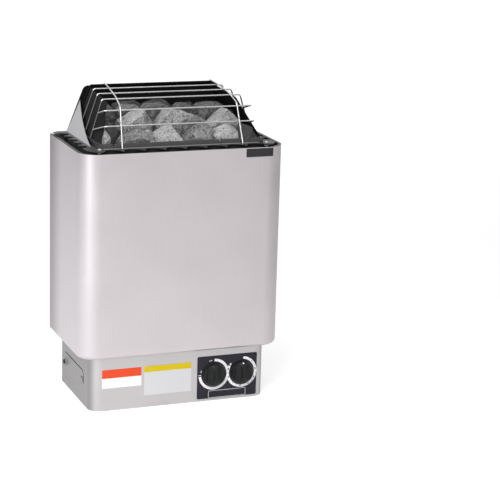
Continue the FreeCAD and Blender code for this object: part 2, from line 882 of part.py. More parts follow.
def guard_back_plate():
    top = casing_top + guard_back_height
    outline = [(-guard_base_half, comb_top), (guard_base_half, comb_top), (guard_back_top_half, top),
               (-guard_back_top_half, top)]
    points = [Vector(x, guard_back, z) for x, z in outline]
    plate = flat_face(points, (0, 0, guard_back_corner, guard_back_corner)).extrude(Vector(0, -guard_sheet, 0))
    hem_half = guard_back_top_half - guard_back_corner
    hem = box_between((-hem_half, guard_back - guard_back_hem, top - guard_sheet), (hem_half, guard_back, top))
    return joined([plate, hem])


def guard_wing():
    """Left-hand leaning gusset with a hollowed front edge; it stands on the comb against the back plate."""
    back = guard_back - guard_sheet - weld_gap
    middle = casing_front + side_plate_mid_place
    tip = casing_front + side_plate_tip_place

    def at(y, height):
        return Vector(-guard_half_at(height), y, casing_top + height)

    top = at(back, side_plate_back_height)
    low_back = at(back, comb_rise)
    low_front = at(tip, comb_rise)
    edges = [Part.LineSegment(low_back, top).toShape(),
             Part.Arc(top, at(middle, side_plate_mid_height), low_front).toShape(),
             Part.LineSegment(low_front, low_back).toShape()]
    inward = Vector(1, 0, -guard_lean).normalize() * guard_sheet
    sheet = Part.Face(Part.Wire(edges)).extrude(inward)
    above = box_between((-casing_half, casing_front, comb_top),
                        (casing_half, casing_back, comb_top + guard_back_height))
    return sheet.common(above)


def guard_wings():
    wing = guard_wing()
    return grouped([wing, mirrored(wing)])


def inner_lean():
    """Slope of the first bar's legs, which the inner plates lie against."""
    foot_x, foot_z = leg_foot()
    return (foot_x - bar_halves[0]) / (casing_top + bar_heights[0] - foot_z)


def inner_plate_half(z):
    """Half width between the outer faces of the inner plates at a level."""
    foot_x, foot_z = leg_foot()
    lean = inner_lean()
    return foot_x - lean * (z - foot_z) - (wire_radius + weld_gap) * math.hypot(1, lean)


def guard_inner_plate():
    """Left-hand leaning sheet inside the bars' legs, cut on a slant from the last long bar to the front."""
    back = guard_back - guard_sheet - weld_gap
    front_y, front_z = bar_place(4)
    front = front_y - wire_radius
    back_z = casing_top + guard_back_height - guard_sheet - weld_gap
    low = rail_top + weld_gap + guard_sheet * inner_lean()
    toe = casing_front + inner_plate_toe
    corners = [(back, low), (back, back_z), (front, front_z - inner_plate_drop), (toe, low)]
    points = [Vector(-inner_plate_half(z), y, z) for y, z in corners]
    sheet = flat_face(points, (0, 0, wire_bend_radius, 0))
    return sheet.extrude(Vector(1, 0, -inner_lean()).normalize() * guard_sheet)


def guard_inner_plates():
    plate = guard_inner_plate()
    return grouped([plate, mirrored(plate)])


def bar_place(number):
    """Y and Z of a long cross bar."""
    return first_bar_y - (number - 1) * bar_pitch, casing_top + bar_heights[number - 1]


def leg_foot():
    """X and Z of the middle of a leg's lower end, tilted on the side rail's top edge."""
    return leg_foot_half, rail_top + weld_gap + wire_radius * guard_lean * wire_slack


def guard_bar(number):
    """One of the four long cross bars, whose legs stand on the side rails."""
    y, top = bar_place(number)
    half = bar_halves[number - 1]
    foot_x, foot_z = leg_foot()
    return bent_rod([(-foot_x, y, foot_z), (-half, y, top), (half, y, top), (foot_x, y, foot_z)], wire_bend_radius,
                    wire_radius)


def upright_line():
    """Bend and foot of the uprights in the Y-Z plane; they lean against the front rail's top edge."""
    bend_y = casing_front + upright_bend_place
    bend_z = casing_top + upright_bend_height
    rail_y = rail_front - weld_gap - wire_radius * wire_slack
    slant = (bend_y - rail_y) / (bend_z - rail_top)
    foot_z = comb_top + weld_gap + wire_radius / 2
    return bend_y, bend_z, rail_y - slant * (rail_top - foot_z), foot_z


def front_bar(number):
    """One of the two lower front bars, whose ends turn back to the last long bar's legs."""
    bend_y, bend_z, foot_y, foot_z = upright_line()
    height = front_bar_heights[number - 1]
    half = front_bar_halves[number - 1]
    z = casing_top + height
    slant = (bend_y - foot_y) / (bend_z - foot_z)
    y = bend_y - (bend_z - z) * slant + wire_pitch * math.hypot(1, slant)
    leg_y, leg_top = bar_place(4)
    foot_x, leg_foot_z = leg_foot()
    end_z = z - front_bar_drops[number - 1]
    share = (leg_top - end_z) / (leg_top - leg_foot_z)
    end_x = bar_halves[3] + (foot_x - bar_halves[3]) * share
    end_y = leg_y - wire_radius - front_bar_weld_gap
    return bent_rod([(-end_x, end_y, end_z), (-half, y, z), (half, y, z), (end_x, end_y, end_z)], wire_bend_radius,
                    wire_radius)


def guard_upright(side, lean):
    """Wire over the cross bars, leaning to the right towards the back, and down their front to the comb."""
    bend_y, bend_z, foot_y, foot_z = upright_line()
    bend_x = side * upright_top_half
    places = [bar_place(number) for number in (1, 2, 3, 4)]
    places[0] = (places[0][0] + wire_radius, places[0][1])
    run = places[0][0] - bend_y
    route = [(bend_x + lean * (y - bend_y) / run, y, z + wire_pitch) for y, z in places]
    route += [(bend_x, bend_y, bend_z), (side * upright_bottom_half, foot_y, foot_z)]
    return bent_rod(route, upright_bend_radius, wire_radius)


def heating_element(number):
    """Round rod bent into four upright runs, with threaded necks through the box top."""
    y = element_rows[number - 1]
    low = grate_top + element_floor_gap
    route = [(-element_end_x, y, element_foot), (-element_end_x, y, element_top)]
    route += [(-element_turn_x, y, element_top), (-element_turn_x, y, low)]
    route += [(-x, y, z) for x, y, z in reversed(route)]
    rods = [bent_rod(route, element_bend_radius, element_radius)]
    for side in (-1, 1):
        x = side * element_end_x
        neck_low = box_top - element_nut_thickness - element_neck_spare
        neck_high = deck + element_nut_thickness + element_neck_spare
        rods.append(rod((x, y, neck_low), (x, y, neck_high), element_neck_radius))
    return joined(rods)


def element_nuts():
    nuts = []
    bore = element_neck_radius + screw_gap
    for x, y in element_ends:
        nuts.append(hex_nut((x, y, deck), (0, 0, 1), element_nut_flats, element_nut_thickness, bore))
        nuts.append(hex_nut((x, y, box_top), (0, 0, -1), element_nut_flats, element_nut_thickness, bore))
    return grouped(nuts)


def element_terminals():
    """Ceramic end beads with terminal pins below the element ends."""
    pins = []
    for x, y in element_ends:
        bead = rod((x, y, element_foot), (x, y, pin_top), element_radius)
        pin = rod((x, y, pin_top), (x, y, pin_top - terminal_pin_length), terminal_pin_radius)
        pins.append(joined([bead, pin]))
    return grouped(pins)


def neutral_strip():
    """Copper strip that joins the right-hand terminals."""
    x = element_end_x
    bottom = strip_top - strip_thickness
    strip = box_between((x - strip_width / 2, element_rows[0] - strip_width, bottom),
                        (x + strip_width / 2, element_rows[-1] + strip_width, strip_top))
    for y in element_rows:
        strip = strip.cut(hole_along_z(x, y, bottom, strip_top, terminal_pin_radius + screw_gap))
    return strip


def clipped(faces, point, normal):
    """Part of a convex polyhedron, given as a list of corner rings, behind a plane."""
    kept = []
    rim = []
    for ring in faces:
        heights = [(corner - point).dot(normal) for corner in ring]
        piece = []
        for index, corner in enumerate(ring):
            following = (index + 1) % len(ring)
            if heights[index] <= 0:
                piece.append(corner)
            if heights[index] * heights[following] < 0:
                share = heights[index] / (heights[index] - heights[following])
                crossing = corner + (ring[following] - corner) * share
                piece.append(crossing)
                rim.append(crossing)
        if len(piece) > 2:
            kept.append(piece)
    if rim:
        kept.append(cap_ring(rim, normal))
    return kept


def cap_ring(rim, normal):
    middle = Vector(0, 0, 0)
    for corner in rim:
        middle += corner * (1 / len(rim))
    first = (rim[0] - middle).normalize()
    second = normal.cross(first)

    def turn(corner):
        return math.atan2((corner - middle).dot(second), (corner - middle).dot(first))

    ordered = sorted(rim, key=turn)
    ring = [ordered[0]]
    for corner in ordered[1:]:
        if corner.distanceToPoint(ring[-1]) > shortest_edge:
            ring.append(corner)
    if ring[0].distanceToPoint(ring[-1]) < shortest_edge:
        ring.pop()
    return ring


def block_faces(low, high):
    solid = box_between(low, high)
    return [[vertex.Point for vertex in face.OuterWire.OrderedVertexes] for face in solid.Faces]


def without_short_edges(ring):
    kept = []
    for corner in ring:
        if not kept or corner.distanceToPoint(kept[-1]) > shortest_edge:
            kept.append(corner)
    if len(kept) > 1 and kept[0].distanceToPoint(kept[-1]) < shortest_edge:
        kept.pop()
    return kept


def polyhedron(faces):
    rings = [without_short_edges(ring) for ring in faces]
    sides = [Part.Face(Part.makePolygon(ring + ring[:1])) for ring in rings if len(ring) > 2]
    shell = Part.Shell(sides)
    solid = Part.Solid(shell)
    if solid.Volume < 0:
        solid.reverse()
    return solid


def stone(seed, others, low, high, limits, dice, chips):
    """Rough rock: the room nearest to its seed, inside a block and planes, with its corners knocked off."""
    faces = block_faces(low, high)
    for point, normal in limits:
        faces = clipped(faces, point, normal)
    for other in others:
        towards = other - seed
        normal = Vector(towards).normalize()
        faces = clipped(faces, seed + towards * 0.5 - normal * stone_gap, normal)
    for chip in range(chips):
        normal = Vector(dice.uniform(-1, 1), dice.uniform(-1, 1), dice.uniform(-1, 1)).normalize()
        reach = max((corner - seed).dot(normal) for ring in faces for corner in ring)
        faces = clipped(faces, seed + normal * (reach * dice.uniform(*stone_chip_reach)), normal)
    return polyhedron(faces)


def scattered(low, high, counts, wobble, stagger, dice):
    """Seeds on a grid inside a block, in staggered rows, each shifted by chance."""
    seeds = []
    size = [(high[axis] - low[axis]) / counts[axis] for axis in range(3)]
    for layer in range(counts[2]):
        for file in range(counts[1]):
            for column in range(counts[0]):
                place = [low[axis] + size[axis] * (cell + 0.5 + dice.uniform(-wobble, wobble))
                         for axis, cell in enumerate((column, file, layer))]
                place[0] += size[0] * stagger * (-1) ** (file + layer)
                seeds.append(Vector(*place))
    return seeds


def stones_lower():
    """Rocks in the upright slots between the heating elements."""
    dice = random.Random(lower_stone_seed)
    rocks = []
    clear = element_radius + element_clearance
    half = chamber_half - stone_gap
    edges = [chamber_front + stone_gap - clear] + element_rows + [chamber_back - stone_gap + clear]
    high_level = element_top + clear
    limits = corner_limits(jacket_corner_radius - jacket_sheet)
    for front, back in zip(edges, edges[1:]):
        low = (-half, front + clear, grate_top + stone_gap)
        high = (half, back - clear, high_level - stone_gap)
        seeds = scattered(low, high, (lower_stone_columns, 1, lower_stone_rows), lower_stone_wobble, 0, dice)
        for seed in seeds:
            others = [other for other in seeds if other is not seed]
            rocks.append(stone(seed, others, low, high, limits, dice, lower_stone_chips))
    return grouped(rocks)


def corner_limits(radius):
    """Planes that keep rocks clear of the chamber's rounded upright corners."""
    limits = []
    for side in (-1, 1):
        for y, outward in ((chamber_front + radius, -1), (chamber_back - radius, 1)):
            for degrees in corner_plane_angles:
                turn = math.radians(degrees)
                normal = Vector(side * math.cos(turn), outward * math.sin(turn), 0)
                centre = Vector(side * (chamber_half - radius), y, 0)
                limits.append((centre + normal * (radius - stone_gap), normal))
    return limits


def pile_limits():
    """Planes that keep the heap inside the leaning guard."""
    lean = inner_lean()
    side_normal = Vector(1, 0, lean).normalize()
    inset = (guard_sheet + pile_clearance) * math.hypot(1, lean)
    side_point = Vector(inner_plate_half(rail_top) - inset, 0, rail_top)
    bend_y, bend_z, foot_y, foot_z = upright_line()
    slant = (bend_y - foot_y) / (bend_z - foot_z)
    front_normal = Vector(0, -1, slant).normalize()
    behind_bars = (wire_pitch + wire_radius + pile_clearance) * math.hypot(1, slant)
    front_point = Vector(0, foot_y + behind_bars, foot_z)
    mirrored_normal = Vector(-side_normal.x, 0, side_normal.z)
    mirrored_point = Vector(-side_point.x, 0, side_point.z)
    return [(side_point, side_normal), (mirrored_point, mirrored_normal), (front_point, front_normal)]


def stones_upper():
    """Rocks above the elements: one layer level with the rim and a heap on top of it."""
    dice = random.Random(upper_stone_seed)
    half = min(side_rail_half - side_rail_width - pile_clearance, chamber_half - stone_gap)
    front = chamber_front + stone_gap
    back = chamber_back - stone_gap
    bottom = element_top + element_radius + element_clearance + stone_gap
    top = casing_top + stone_pile_height
    low = (-half, front, bottom)
    high = (half, back, top)
    counts = (upper_stone_columns, upper_stone_files, 2)
    seeds = scattered(low, high, counts, upper_stone_wobble, upper_stone_stagger, dice)
    rocks = []
    for seed in seeds:
        others = [other for other in seeds if other is not seed]
        level = min(top, seed.z + stone_layer_height * dice.uniform(*stone_top_reach))
        lean_x, lean_y = [dice.uniform(-upper_stone_tilt, upper_stone_tilt) for axis in "xy"]
        tilt = Vector(lean_x, lean_y, 1).normalize()
        limits = pile_limits() + corner_limits(jacket_corner_radius)
        if seed.z > casing_top:
            limits.append((Vector(seed.x, seed.y, level), tilt))
        rocks.append(stone(seed, others, low, high, limits, dice, upper_stone_chips))
    return grouped(rocks)


def control_plate():
    plate = skin_patch(box_half, box_front, box_back, box_corner_radius, plate_thickness,
                       (plate_left, plate_bottom, plate_right, plate_top), plate_corner_radius)
    for x in dial_places:
        plate = plate.cut(hole_along_y(x, dial_height, plate_face, box_front, spindle_hole_radius))
    for x, z in control_screw_points:
        plate = plate.cut(hole_along_y(x, z, plate_face, box_front, small_screw_radius + screw_gap))
    return plate


def control_screws():
    return grouped([small_screw((x, plate_face, z), (0, -1, 0)) for x, z in control_screw_points])


def flatted_rod(radius, flat, length):
    shaft = Part.makeCylinder(radius, length)
    return shaft.cut(box_between((radius - flat, -2 * radius, -1), (2 * radius, 2 * radius, length + overcut)))


def knob(x):
    """Round knob with a domed fin between two scooped sides, hollow below, with a flatted bore in its hub."""
    body = Part.makeCylinder(knob_radius, knob_height)
    drop = knob_height - knob_rim_height
    dome_radius = (knob_radius ** 2 + drop ** 2) / (2 * drop)
    body = body.common(Part.makeSphere(dome_radius, Vector(0, 0, knob_height - dome_radius)))
    scoop_radius = knob_height - knob_base_height
    for side in (-1, 1):
        centre = side * (knob_fin_thickness / 2 + scoop_radius)
        body = body.cut(rod((centre, -2 * knob_radius, knob_height), (centre, 2 * knob_radius, knob_height),
                            scoop_radius))
    base_rim = [edge for edge in body.Edges if all(vertex.Z < same_place for vertex in edge.Vertexes)]
    body = body.makeFillet(knob_edge_round, base_rim)
    cavity = Part.makeCylinder(knob_radius - knob_wall, knob_cavity_depth)
    cavity = cavity.cut(Part.makeCylinder(knob_hub_radius, knob_cavity_depth))
    bore = flatted_rod(spindle_radius + running_gap, spindle_flat, spindle_grip + overcut)
    return aim_front(body.cut([cavity, bore]), x, plate_face - knob_gap)


def aim_front(shape, x, y):
    """Turn a shape built along +Z to face the front, with its own +Y upwards."""
    shape.rotate(Vector(0, 0, 0), Vector(1, 0, 0), 90)
    shape.translate(Vector(x, y, dial_height))
    return shape


def spindle(x):
    """Round shaft from the control's body into the knob, with a flat where the knob grips it."""
    grip = flatted_rod(spindle_radius, spindle_flat + running_gap, spindle_grip)
    depth = knob_gap + plate_thickness + box_sheet + sheet_gap + spindle_seat
    shaft = Part.makeCylinder(spindle_radius, depth, Vector(0, 0, -depth))
    return aim_front(joined([grip, shaft]), x, plate_face - knob_gap)


def control_body(x, size):
    width, height, depth = size
    front = dial_inside + sheet_gap
    body = box_between((x - width / 2, front, dial_height - height / 2),
                       (x + width / 2, front + depth, dial_height + height / 2))
    upright = [edge for edge in body.Edges if edge.Vertexes[0].Y != edge.Vertexes[1].Y]
    body = body.makeFillet(control_corner_radius, upright)
    bore_end = (x, front + spindle_seat + spindle_end_gap, dial_height)
    body = body.cut(rod((x, front - overcut, dial_height), bore_end, spindle_radius + running_gap))
    for side in (-1, 1):
        screw_x = x + side * control_screw_offset
        screw_end = (screw_x, front + small_screw_length, dial_height)
        body = body.cut(rod((screw_x, front - overcut, dial_height), screw_end, small_screw_radius + screw_gap))
    return body


def control_tabs(x, size, columns):
    """Brass blade contacts on the back of a control's body."""
    width, height, depth = size
    start = dial_inside + sheet_gap + depth
    tabs = []
    for column in range(columns):
        offset = (column - (columns - 1) / 2) * width / columns
        for level in (-height / 4, height / 4):
            left = x + offset - blade_width / 2
            low = dial_height + level - blade_thickness / 2
            tabs.append(Part.makeBox(blade_width, blade_length, blade_thickness, Vector(left, start, low)))
    return tabs


def control_blades():
    return grouped(control_tabs(thermostat_x, thermostat_size, 2) + control_tabs(timer_x, timer_size, 3))


def limiter_body():
    """Round limiter with a neck through the side of the box; built along +Z outwards, then aimed at -X."""
    inside = -box_sheet - sheet_gap
    body = Part.makeCylinder(limiter_radius, limiter_length, Vector(0, 0, inside - limiter_length))
    neck = Part.makeCylinder(limiter_neck_radius, limiter_neck_reach - inside, Vector(0, 0, inside))
    bore_low = -reset_stem_length - reset_travel
    bore = Part.makeCylinder(reset_button_radius + running_gap, limiter_neck_reach - bore_low + overcut,
                             Vector(0, 0, bore_low))
    room_low = -reset_stem_length - reset_travel - reset_floor_gap
    room_high = -reset_stem_length + reset_flange_thickness + sheet_gap
    room = Part.makeCylinder(reset_flange_radius + 2 * sheet_gap, room_high - room_low, Vector(0, 0, room_low))
    return aim(body.fuse(neck).cut([bore, room]), (-box_half, reset_y, reset_height), (-1, 0, 0))


def limiter_nut():
    nut = hexagon(limiter_nut_flats, limiter_nut_thickness)
    nut = nut.cut(Part.makeCylinder(limiter_neck_radius + screw_gap, limiter_nut_thickness))
    return aim(nut, (-box_half, reset_y, reset_height), (-1, 0, 0))


def reset_button():
    top = limiter_neck_reach + reset_button_proud
    stem = Part.makeCylinder(reset_button_radius, top + reset_stem_length, Vector(0, 0, -reset_stem_length))
    crown = [edge for edge in stem.Edges if all(abs(vertex.Z - top) < same_place for vertex in edge.Vertexes)]
    stem = stem.makeFillet(reset_crown_round, crown)
    flange = Part.makeCylinder(reset_flange_radius, reset_flange_thickness, Vector(0, 0, -reset_stem_length))
    return aim(stem.fuse(flange), (-box_half, reset_y, reset_height), (-1, 0, 0))


def block_pole(pole):
    return block_x + (pole - (block_poles - 1) / 2) * block_width / block_poles


def terminal_block():
    block = box_between((block_x - block_width / 2, box_panel_front - block_depth, block_z),
                        (block_x + block_width / 2, box_panel_front, block_z + block_height))
    front = box_panel_front - block_depth
    top = block_z + block_height
    for pole in range(block_poles):
        x = block_pole(pole)
        for level in pole_levels:
            z = block_z + block_height * level
            block = block.cut(rod((x, front - overcut, z), (x, front + pole_hole_depth, z), pole_hole_radius))
        socket_floor = (x, socket_y, top - socket_depth)
        block = block.cut(rod(socket_floor, (x, socket_y, top + overcut), lead_radius + screw_gap))
    return block


def terminal_screws():
    screws = []
    for pole in range(block_poles):
        for level in pole_levels:
            seat = box_panel_front - block_depth + pole_hole_depth
            z = block_z + block_height * level
            screw = Part.makeCylinder(pole_screw_radius, pole_screw_height)
            slot = box_between((-2 * pole_screw_radius, -pole_slot_width / 2, pole_screw_height - pole_slot_depth),
                               (2 * pole_screw_radius, pole_slot_width / 2, pole_screw_height + overcut))
            screws.append(aim(screw.cut(slot), (block_pole(pole), seat, z), (0, -1, 0)))
    return grouped(screws)


def shifted(point, offset):
    return tuple(place + step for place, step in zip(point, offset))


def lead(start, turn, sweep, arrival, rise, pole):
    """Lead from a start over a turn and a sweep, down into a socket of the terminal block."""
    plug = (block_pole(pole), socket_y, block_z + block_height - socket_depth + socket_floor_gap)
    route = [start, turn, shifted(turn, sweep), shifted(plug, arrival), shifted(plug, (0, 0, rise)), plug]
    return bent_rod(route, lead_bend_radius, lead_radius)


def element_leads():
    """Leads from the left-hand terminals and the neutral strip into the terminal block."""
    leads = []
    pin_end = pin_top - terminal_pin_length - weld_gap
    for row, y in enumerate(element_rows):
        start = (-element_end_x, y, pin_end)
        turn = (-element_end_x, y, pin_end - lead_drop)
        leads.append(lead(start, turn, lead_sweep, lead_arrival, lead_rise, element_count - 1 - row))
    start = (element_end_x, element_rows[-1] + strip_width + weld_gap, strip_top - strip_thickness / 2)
    turn = shifted(start, (0, neutral_lead_run, 0))
    leads.append(lead(start, turn, neutral_lead_sweep, neutral_lead_arrival, neutral_lead_rise, block_poles - 1))
    return grouped(leads)


def cable_gland():
    """Hollow gland through the box's rear panel, with its flange and dome outside."""
    flange = aim(hexagon(gland_flats, gland_flange), (gland_x, box_panel_back, gland_z), (0, 1, 0))
    barrel = rod((gland_x, box_panel_back - gland_inside, gland_z), (gland_x, box_panel_back, gland_z),
                 gland_radius)
    dome_start = box_panel_back + gland_flange
    dome = aim(Part.makeCone(gland_radius + gland_dome_outset, gland_bore_radius + gland_dome_wall, gland_dome),
               (gland_x, dome_start, gland_z), (0, 1, 0))
    bore = rod((gland_x, box_panel_back - gland_inside - overcut, gland_z),
               (gland_x, dome_start + gland_dome + overcut, gland_z), gland_bore_radius)
    return joined([flange, barrel, dome]).cut(bore)


def gland_locknut():
    return hex_nut((gland_x, box_panel_front, gland_z), (0, -1, 0), gland_flats, gland_nut_thickness,
                   gland_radius + screw_gap)


def sensor_bulb():
    y = rear_panel_front - sheet_gap - bulb_radius
    bulb = rod((bulb_x, y, bulb_bottom), (bulb_x, y, bulb_bottom + bulb_length), bulb_radius)
    return bulb.makeFillet(bulb_end_round, [edge for edge in bulb.Edges if len(edge.Vertexes) == 1])


def sensor_clip():
    """Strap that holds the bulb against the rear panel."""
    y = rear_panel_front - sheet_gap - bulb_radius
    low = bulb_bottom + (bulb_length - clip_width) / 2
    high = low + clip_width
    inner = bulb_radius + screw_gap
    outer = inner + clip_sheet
    ring = rod((bulb_x, y, low), (bulb_x, y, high), outer)
    foot = box_between((bulb_x - clip_foot, rear_panel_front - clip_sheet, low), (bulb_x, rear_panel_front, high))
    strap = ring.fuse(foot).cut(hole_along_z(bulb_x, y, low, high, inner))
    strap = strap.common(box_between((bulb_x - clip_foot, y - 2 * outer, low),
                                     (bulb_x + 2 * outer, rear_panel_front, high)))
    hole_x = bulb_x - clip_hole_place
    middle = (low + high) / 2
    hole = hole_along_y(hole_x, middle, rear_panel_front - clip_sheet, rear_panel_front,
                        small_screw_radius + screw_gap)
    return strap.removeSplitter().cut(hole)


def sensor_capillary():
    """Thin tube from the thermostat's back through the box top and up the rear panel to the bulb."""
    bulb_y = rear_panel_front - sheet_gap - bulb_radius
    start_y = dial_inside + sheet_gap + thermostat_size[2] + weld_gap
    route = [(capillary_x, start_y, dial_height), (capillary_x, capillary_y, dial_height)]
    route += [(capillary_x, capillary_y, deck + capillary_rise), (bulb_x, bulb_y, deck + capillary_crossing)]
    route += [(bulb_x, bulb_y, bulb_bottom - weld_gap)]
    return bent_rod(route, capillary_bend_radius, capillary_radius)


def rear_screws():
    """Screws of the casing's back flanges, of the two rear panels and of the rack's lock tab."""
    screws = [panel_screw((x, casing_back, z), (0, 1, 0)) for x, z in rear_screw_points]
    screws.append(panel_screw((0, rear_panel_back + sheet_gap + rack_sheet, lock_screw_z), (0, 1, 0)))
    gap = rear_panel_back - box_panel_front
    for x, z in link_screw_points:
        screws.append(pan_screw((x, rear_panel_back, z), (0, 1, 0), screw_radius, screw_head_radius,
                                screw_head_height, gap + link_screw_grip))
    return grouped(screws)


def rear_spacers():
    """Sleeves that bridge the step between the two rear panels."""
    sleeves = []
    for x, z in link_screw_points:
        sleeve = rod((x, box_panel_back, z), (x, rear_panel_front, z), spacer_radius)
        sleeves.append(sleeve.cut(hole_along_y(x, z, box_panel_back, rear_panel_front, screw_radius + screw_gap)))
    return grouped(sleeves)


def wall_rack():
    """Wall plate with two side flanges, four hooks through the rear panel and a tab for the lock screw."""
    top = rack_bottom + rack_height
    plate = box_between((-rack_half_width, rack_back_face, rack_bottom), (rack_half_width, wall_face, top))
    middle = (rack_bottom + top) / 2
    for x in (-rack_hole_spacing_x / 2, rack_hole_spacing_x / 2):
        for z in (middle - rack_hole_spacing_z / 2, middle + rack_hole_spacing_z / 2):
            plate = plate.cut(hole_along_y(x, z, rack_back_face, wall_face, rack_hole_radius))
    pieces = [plate]
    for side in (-1, 1):
        x0, x1 = sorted((side * rack_half_width, side * (rack_half_width - rack_sheet)))
        pieces.append(box_between((x0, rack_front, rack_bottom), (x1, wall_face, top)))
    for side, level in hook_places():
        x0, x1 = sorted((side * rack_half_width, side * (rack_half_width - rack_sheet)))
        lip_back = rear_panel_front - sheet_gap
        lip_front = lip_back - hook_lip_thickness
        pieces.append(box_between((x0, lip_front, level - hook_height), (x1, rack_front + overcut, level)))
        pieces.append(box_between((x0, lip_front, level - hook_height), (x1, lip_back, level + hook_lip)))
    tab_half = lock_tab_width / 2
    tab_face = rear_panel_back + sheet_gap
    pieces.append(box_between((-tab_half, tab_face, rack_bottom), (tab_half, wall_face, rack_bottom + rack_sheet)))
    drop = box_between((-tab_half, tab_face, rack_bottom - lock_tab_drop),
                       (tab_half, tab_face + rack_sheet, rack_bottom + rack_sheet))
    hole = hole_along_y(0, lock_screw_z, tab_face, tab_face + rack_sheet, screw_radius + screw_gap)
    pieces.append(drop.cut(hole))
    return joined(pieces)


def box_stickers():
    return grouped([skin_patch(box_half, box_front, box_back, box_corner_radius, sticker_thickness, outline,
                               sticker_corner_radius) for outline in (left_sticker_box, right_sticker_box)])


def casing_sticker():
    return skin_patch(casing_half, casing_front, casing_back, casing_corner_radius, sticker_thickness,
                      casing_sticker_box, sticker_corner_radius)


nodes = {
    "outer_casing": outer_casing(),
    "rear_panel": rear_panel(),
    "lower_box_shell": lower_box_shell(),
    "box_rear_panel": box_rear_panel(),
    "bottom_cover": bottom_cover(),
    "bottom_cover_screws": bottom_cover_screws(),
    "box_top_plate": box_top_plate(),
    "inner_jacket": inner_jacket(),
    "heat_shield": heat_shield(),
    "stone_grate": stone_grate(),
    "grate_supports": grate_supports(),
    "vent_comb": vent_comb(),
    "guard_front_rail": guard_front_rail(),
    "guard_side_rails": guard_side_rails(),
    "guard_back_plate": guard_back_plate(),
    "guard_wings": guard_wings(),
    "guard_inner_plates": guard_inner_plates(),
    "rim_screws": rim_screws(),
    "rim_nuts": rim_nuts(),
    "element_nuts": element_nuts(),
    "element_terminals": element_terminals(),
    "neutral_strip": neutral_strip(),
    "stones_lower": stones_lower(),
    "stones_upper": stones_upper(),
    "control_plate": control_plate(),
    "control_screws": control_screws(),
    "control_blades": control_blades(),
    "thermostat_body": control_body(thermostat_x, thermostat_size),
    "thermostat_spindle": spindle(thermostat_x),
    "thermostat_knob": knob(thermostat_x),
    "timer_body": control_body(timer_x, timer_size),
    "timer_spindle": spindle(timer_x),
    "timer_knob": knob(timer_x),
    "limiter_body": limiter_body(),
    "limiter_nut": limiter_nut(),
    "reset_button": reset_button(),
    "terminal_block": terminal_block(),
    "terminal_screws": terminal_screws(),
    "element_leads": element_leads(),
    "cable_gland": cable_gland(),
    "gland_locknut": gland_locknut(),
    "sensor_bulb": sensor_bulb(),
    "sensor_clip": sensor_clip(),
    "sensor_capillary": sensor_capillary(),
    "rear_screws": rear_screws(),
    "rear_spacers": rear_spacers(),
    "wall_rack": wall_rack(),
    "box_stickers": box_stickers(),
    "casing_sticker": casing_sticker(),
}
for number in range(1, 5):
    nodes["guard_bar_%d" % number] = guard_bar(number)
for number in (1, 2):
    nodes["guard_front_bar_%d" % number] = front_bar(number)
nodes["guard_upright_left"] = guard_upright(-1, upright_left_lean)
nodes["guard_upright_right"] = guard_upright(1, upright_right_lean)
for number in range(1, element_count + 1):
    nodes["heating_element_%d" % number] = heating_element(number)

for name, shape in nodes.items():
    if not shape.isValid() or shape.Volume <= 0:
        print("unsound:", name, shape.isValid(), shape.Volume)
    shape.exportStep("parts/" + name + ".step")
print(len(nodes), "nodes")
print("overall depth", overall_depth, "casing front", casing_front, "casing back", casing_back)
print("dial axes", thermostat_x, timer_x, "height", dial_height, "reset", -box_half, reset_y, reset_height)
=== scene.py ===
"""Looks of a wall-hung sauna heater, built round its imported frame."""

import json
import math
import random

import bmesh
import bpy
from mathutils import Matrix, Vector, kdtree, noise


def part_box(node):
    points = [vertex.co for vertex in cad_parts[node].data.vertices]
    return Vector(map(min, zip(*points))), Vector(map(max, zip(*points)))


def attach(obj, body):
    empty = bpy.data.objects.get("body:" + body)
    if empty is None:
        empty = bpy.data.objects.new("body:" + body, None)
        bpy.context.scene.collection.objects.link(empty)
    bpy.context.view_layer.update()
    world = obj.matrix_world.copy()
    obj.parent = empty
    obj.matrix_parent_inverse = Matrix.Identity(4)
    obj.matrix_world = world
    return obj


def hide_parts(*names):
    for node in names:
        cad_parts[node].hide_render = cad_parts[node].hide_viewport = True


bl_info = {
    "name": "Sauna heater looks",
    "version": (1, 0, 0),
    "blender": (4, 5, 0),
    "location": "3D View > Sidebar > Sauna heater",
    "description": "Finishes, stones, dial print and stage of a wall-hung sauna heater",
    "category": "Object",
}

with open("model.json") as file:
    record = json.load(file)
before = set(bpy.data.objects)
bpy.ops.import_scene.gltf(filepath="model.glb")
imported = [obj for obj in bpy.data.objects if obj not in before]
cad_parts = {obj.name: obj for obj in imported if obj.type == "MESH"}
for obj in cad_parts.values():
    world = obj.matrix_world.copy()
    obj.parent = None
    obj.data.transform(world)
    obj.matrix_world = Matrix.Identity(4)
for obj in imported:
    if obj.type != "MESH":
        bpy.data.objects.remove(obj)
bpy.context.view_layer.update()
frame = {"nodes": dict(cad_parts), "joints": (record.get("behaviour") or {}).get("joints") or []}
cad_nodes = frame["nodes"]
joint_places = {joint["name"]: joint.get("pos_m") for joint in frame["joints"]}
THERMOSTAT_PLACE = Vector(joint_places["thermostat_turn"])
TIMER_PLACE = Vector(joint_places["timer_turn"])
PLATE_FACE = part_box("control_plate")[0].y
MM = 0.001
WELD = 0.01 * MM
WHITE = (1.0, 1.0, 1.0)

# Where the finishes of the sheets and wires change, and where shade and a highlight are painted on them.
SKIN = 0.4 * MM
RIM_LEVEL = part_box("outer_casing")[1].z - SKIN
CASING_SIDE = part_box("outer_casing")[1].x - SKIN
WALL_SHADE_START = 5.0 * MM
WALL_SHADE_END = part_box("outer_casing")[1].y
BOX_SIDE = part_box("lower_box_shell")[1].x
BOX_SHADE_WIDTH = 12.5 * MM
RAIL_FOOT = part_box("guard_front_rail")[0].z
RAIL_HIGHLIGHT_HEIGHT = 1.6 * MM
RAIL_STRIP_HALF = 158.0 * MM
LEG_LEVEL = 597.0 * MM
LEG_FADE = 3.0 * MM
LEG_SLOPE = 0.0875
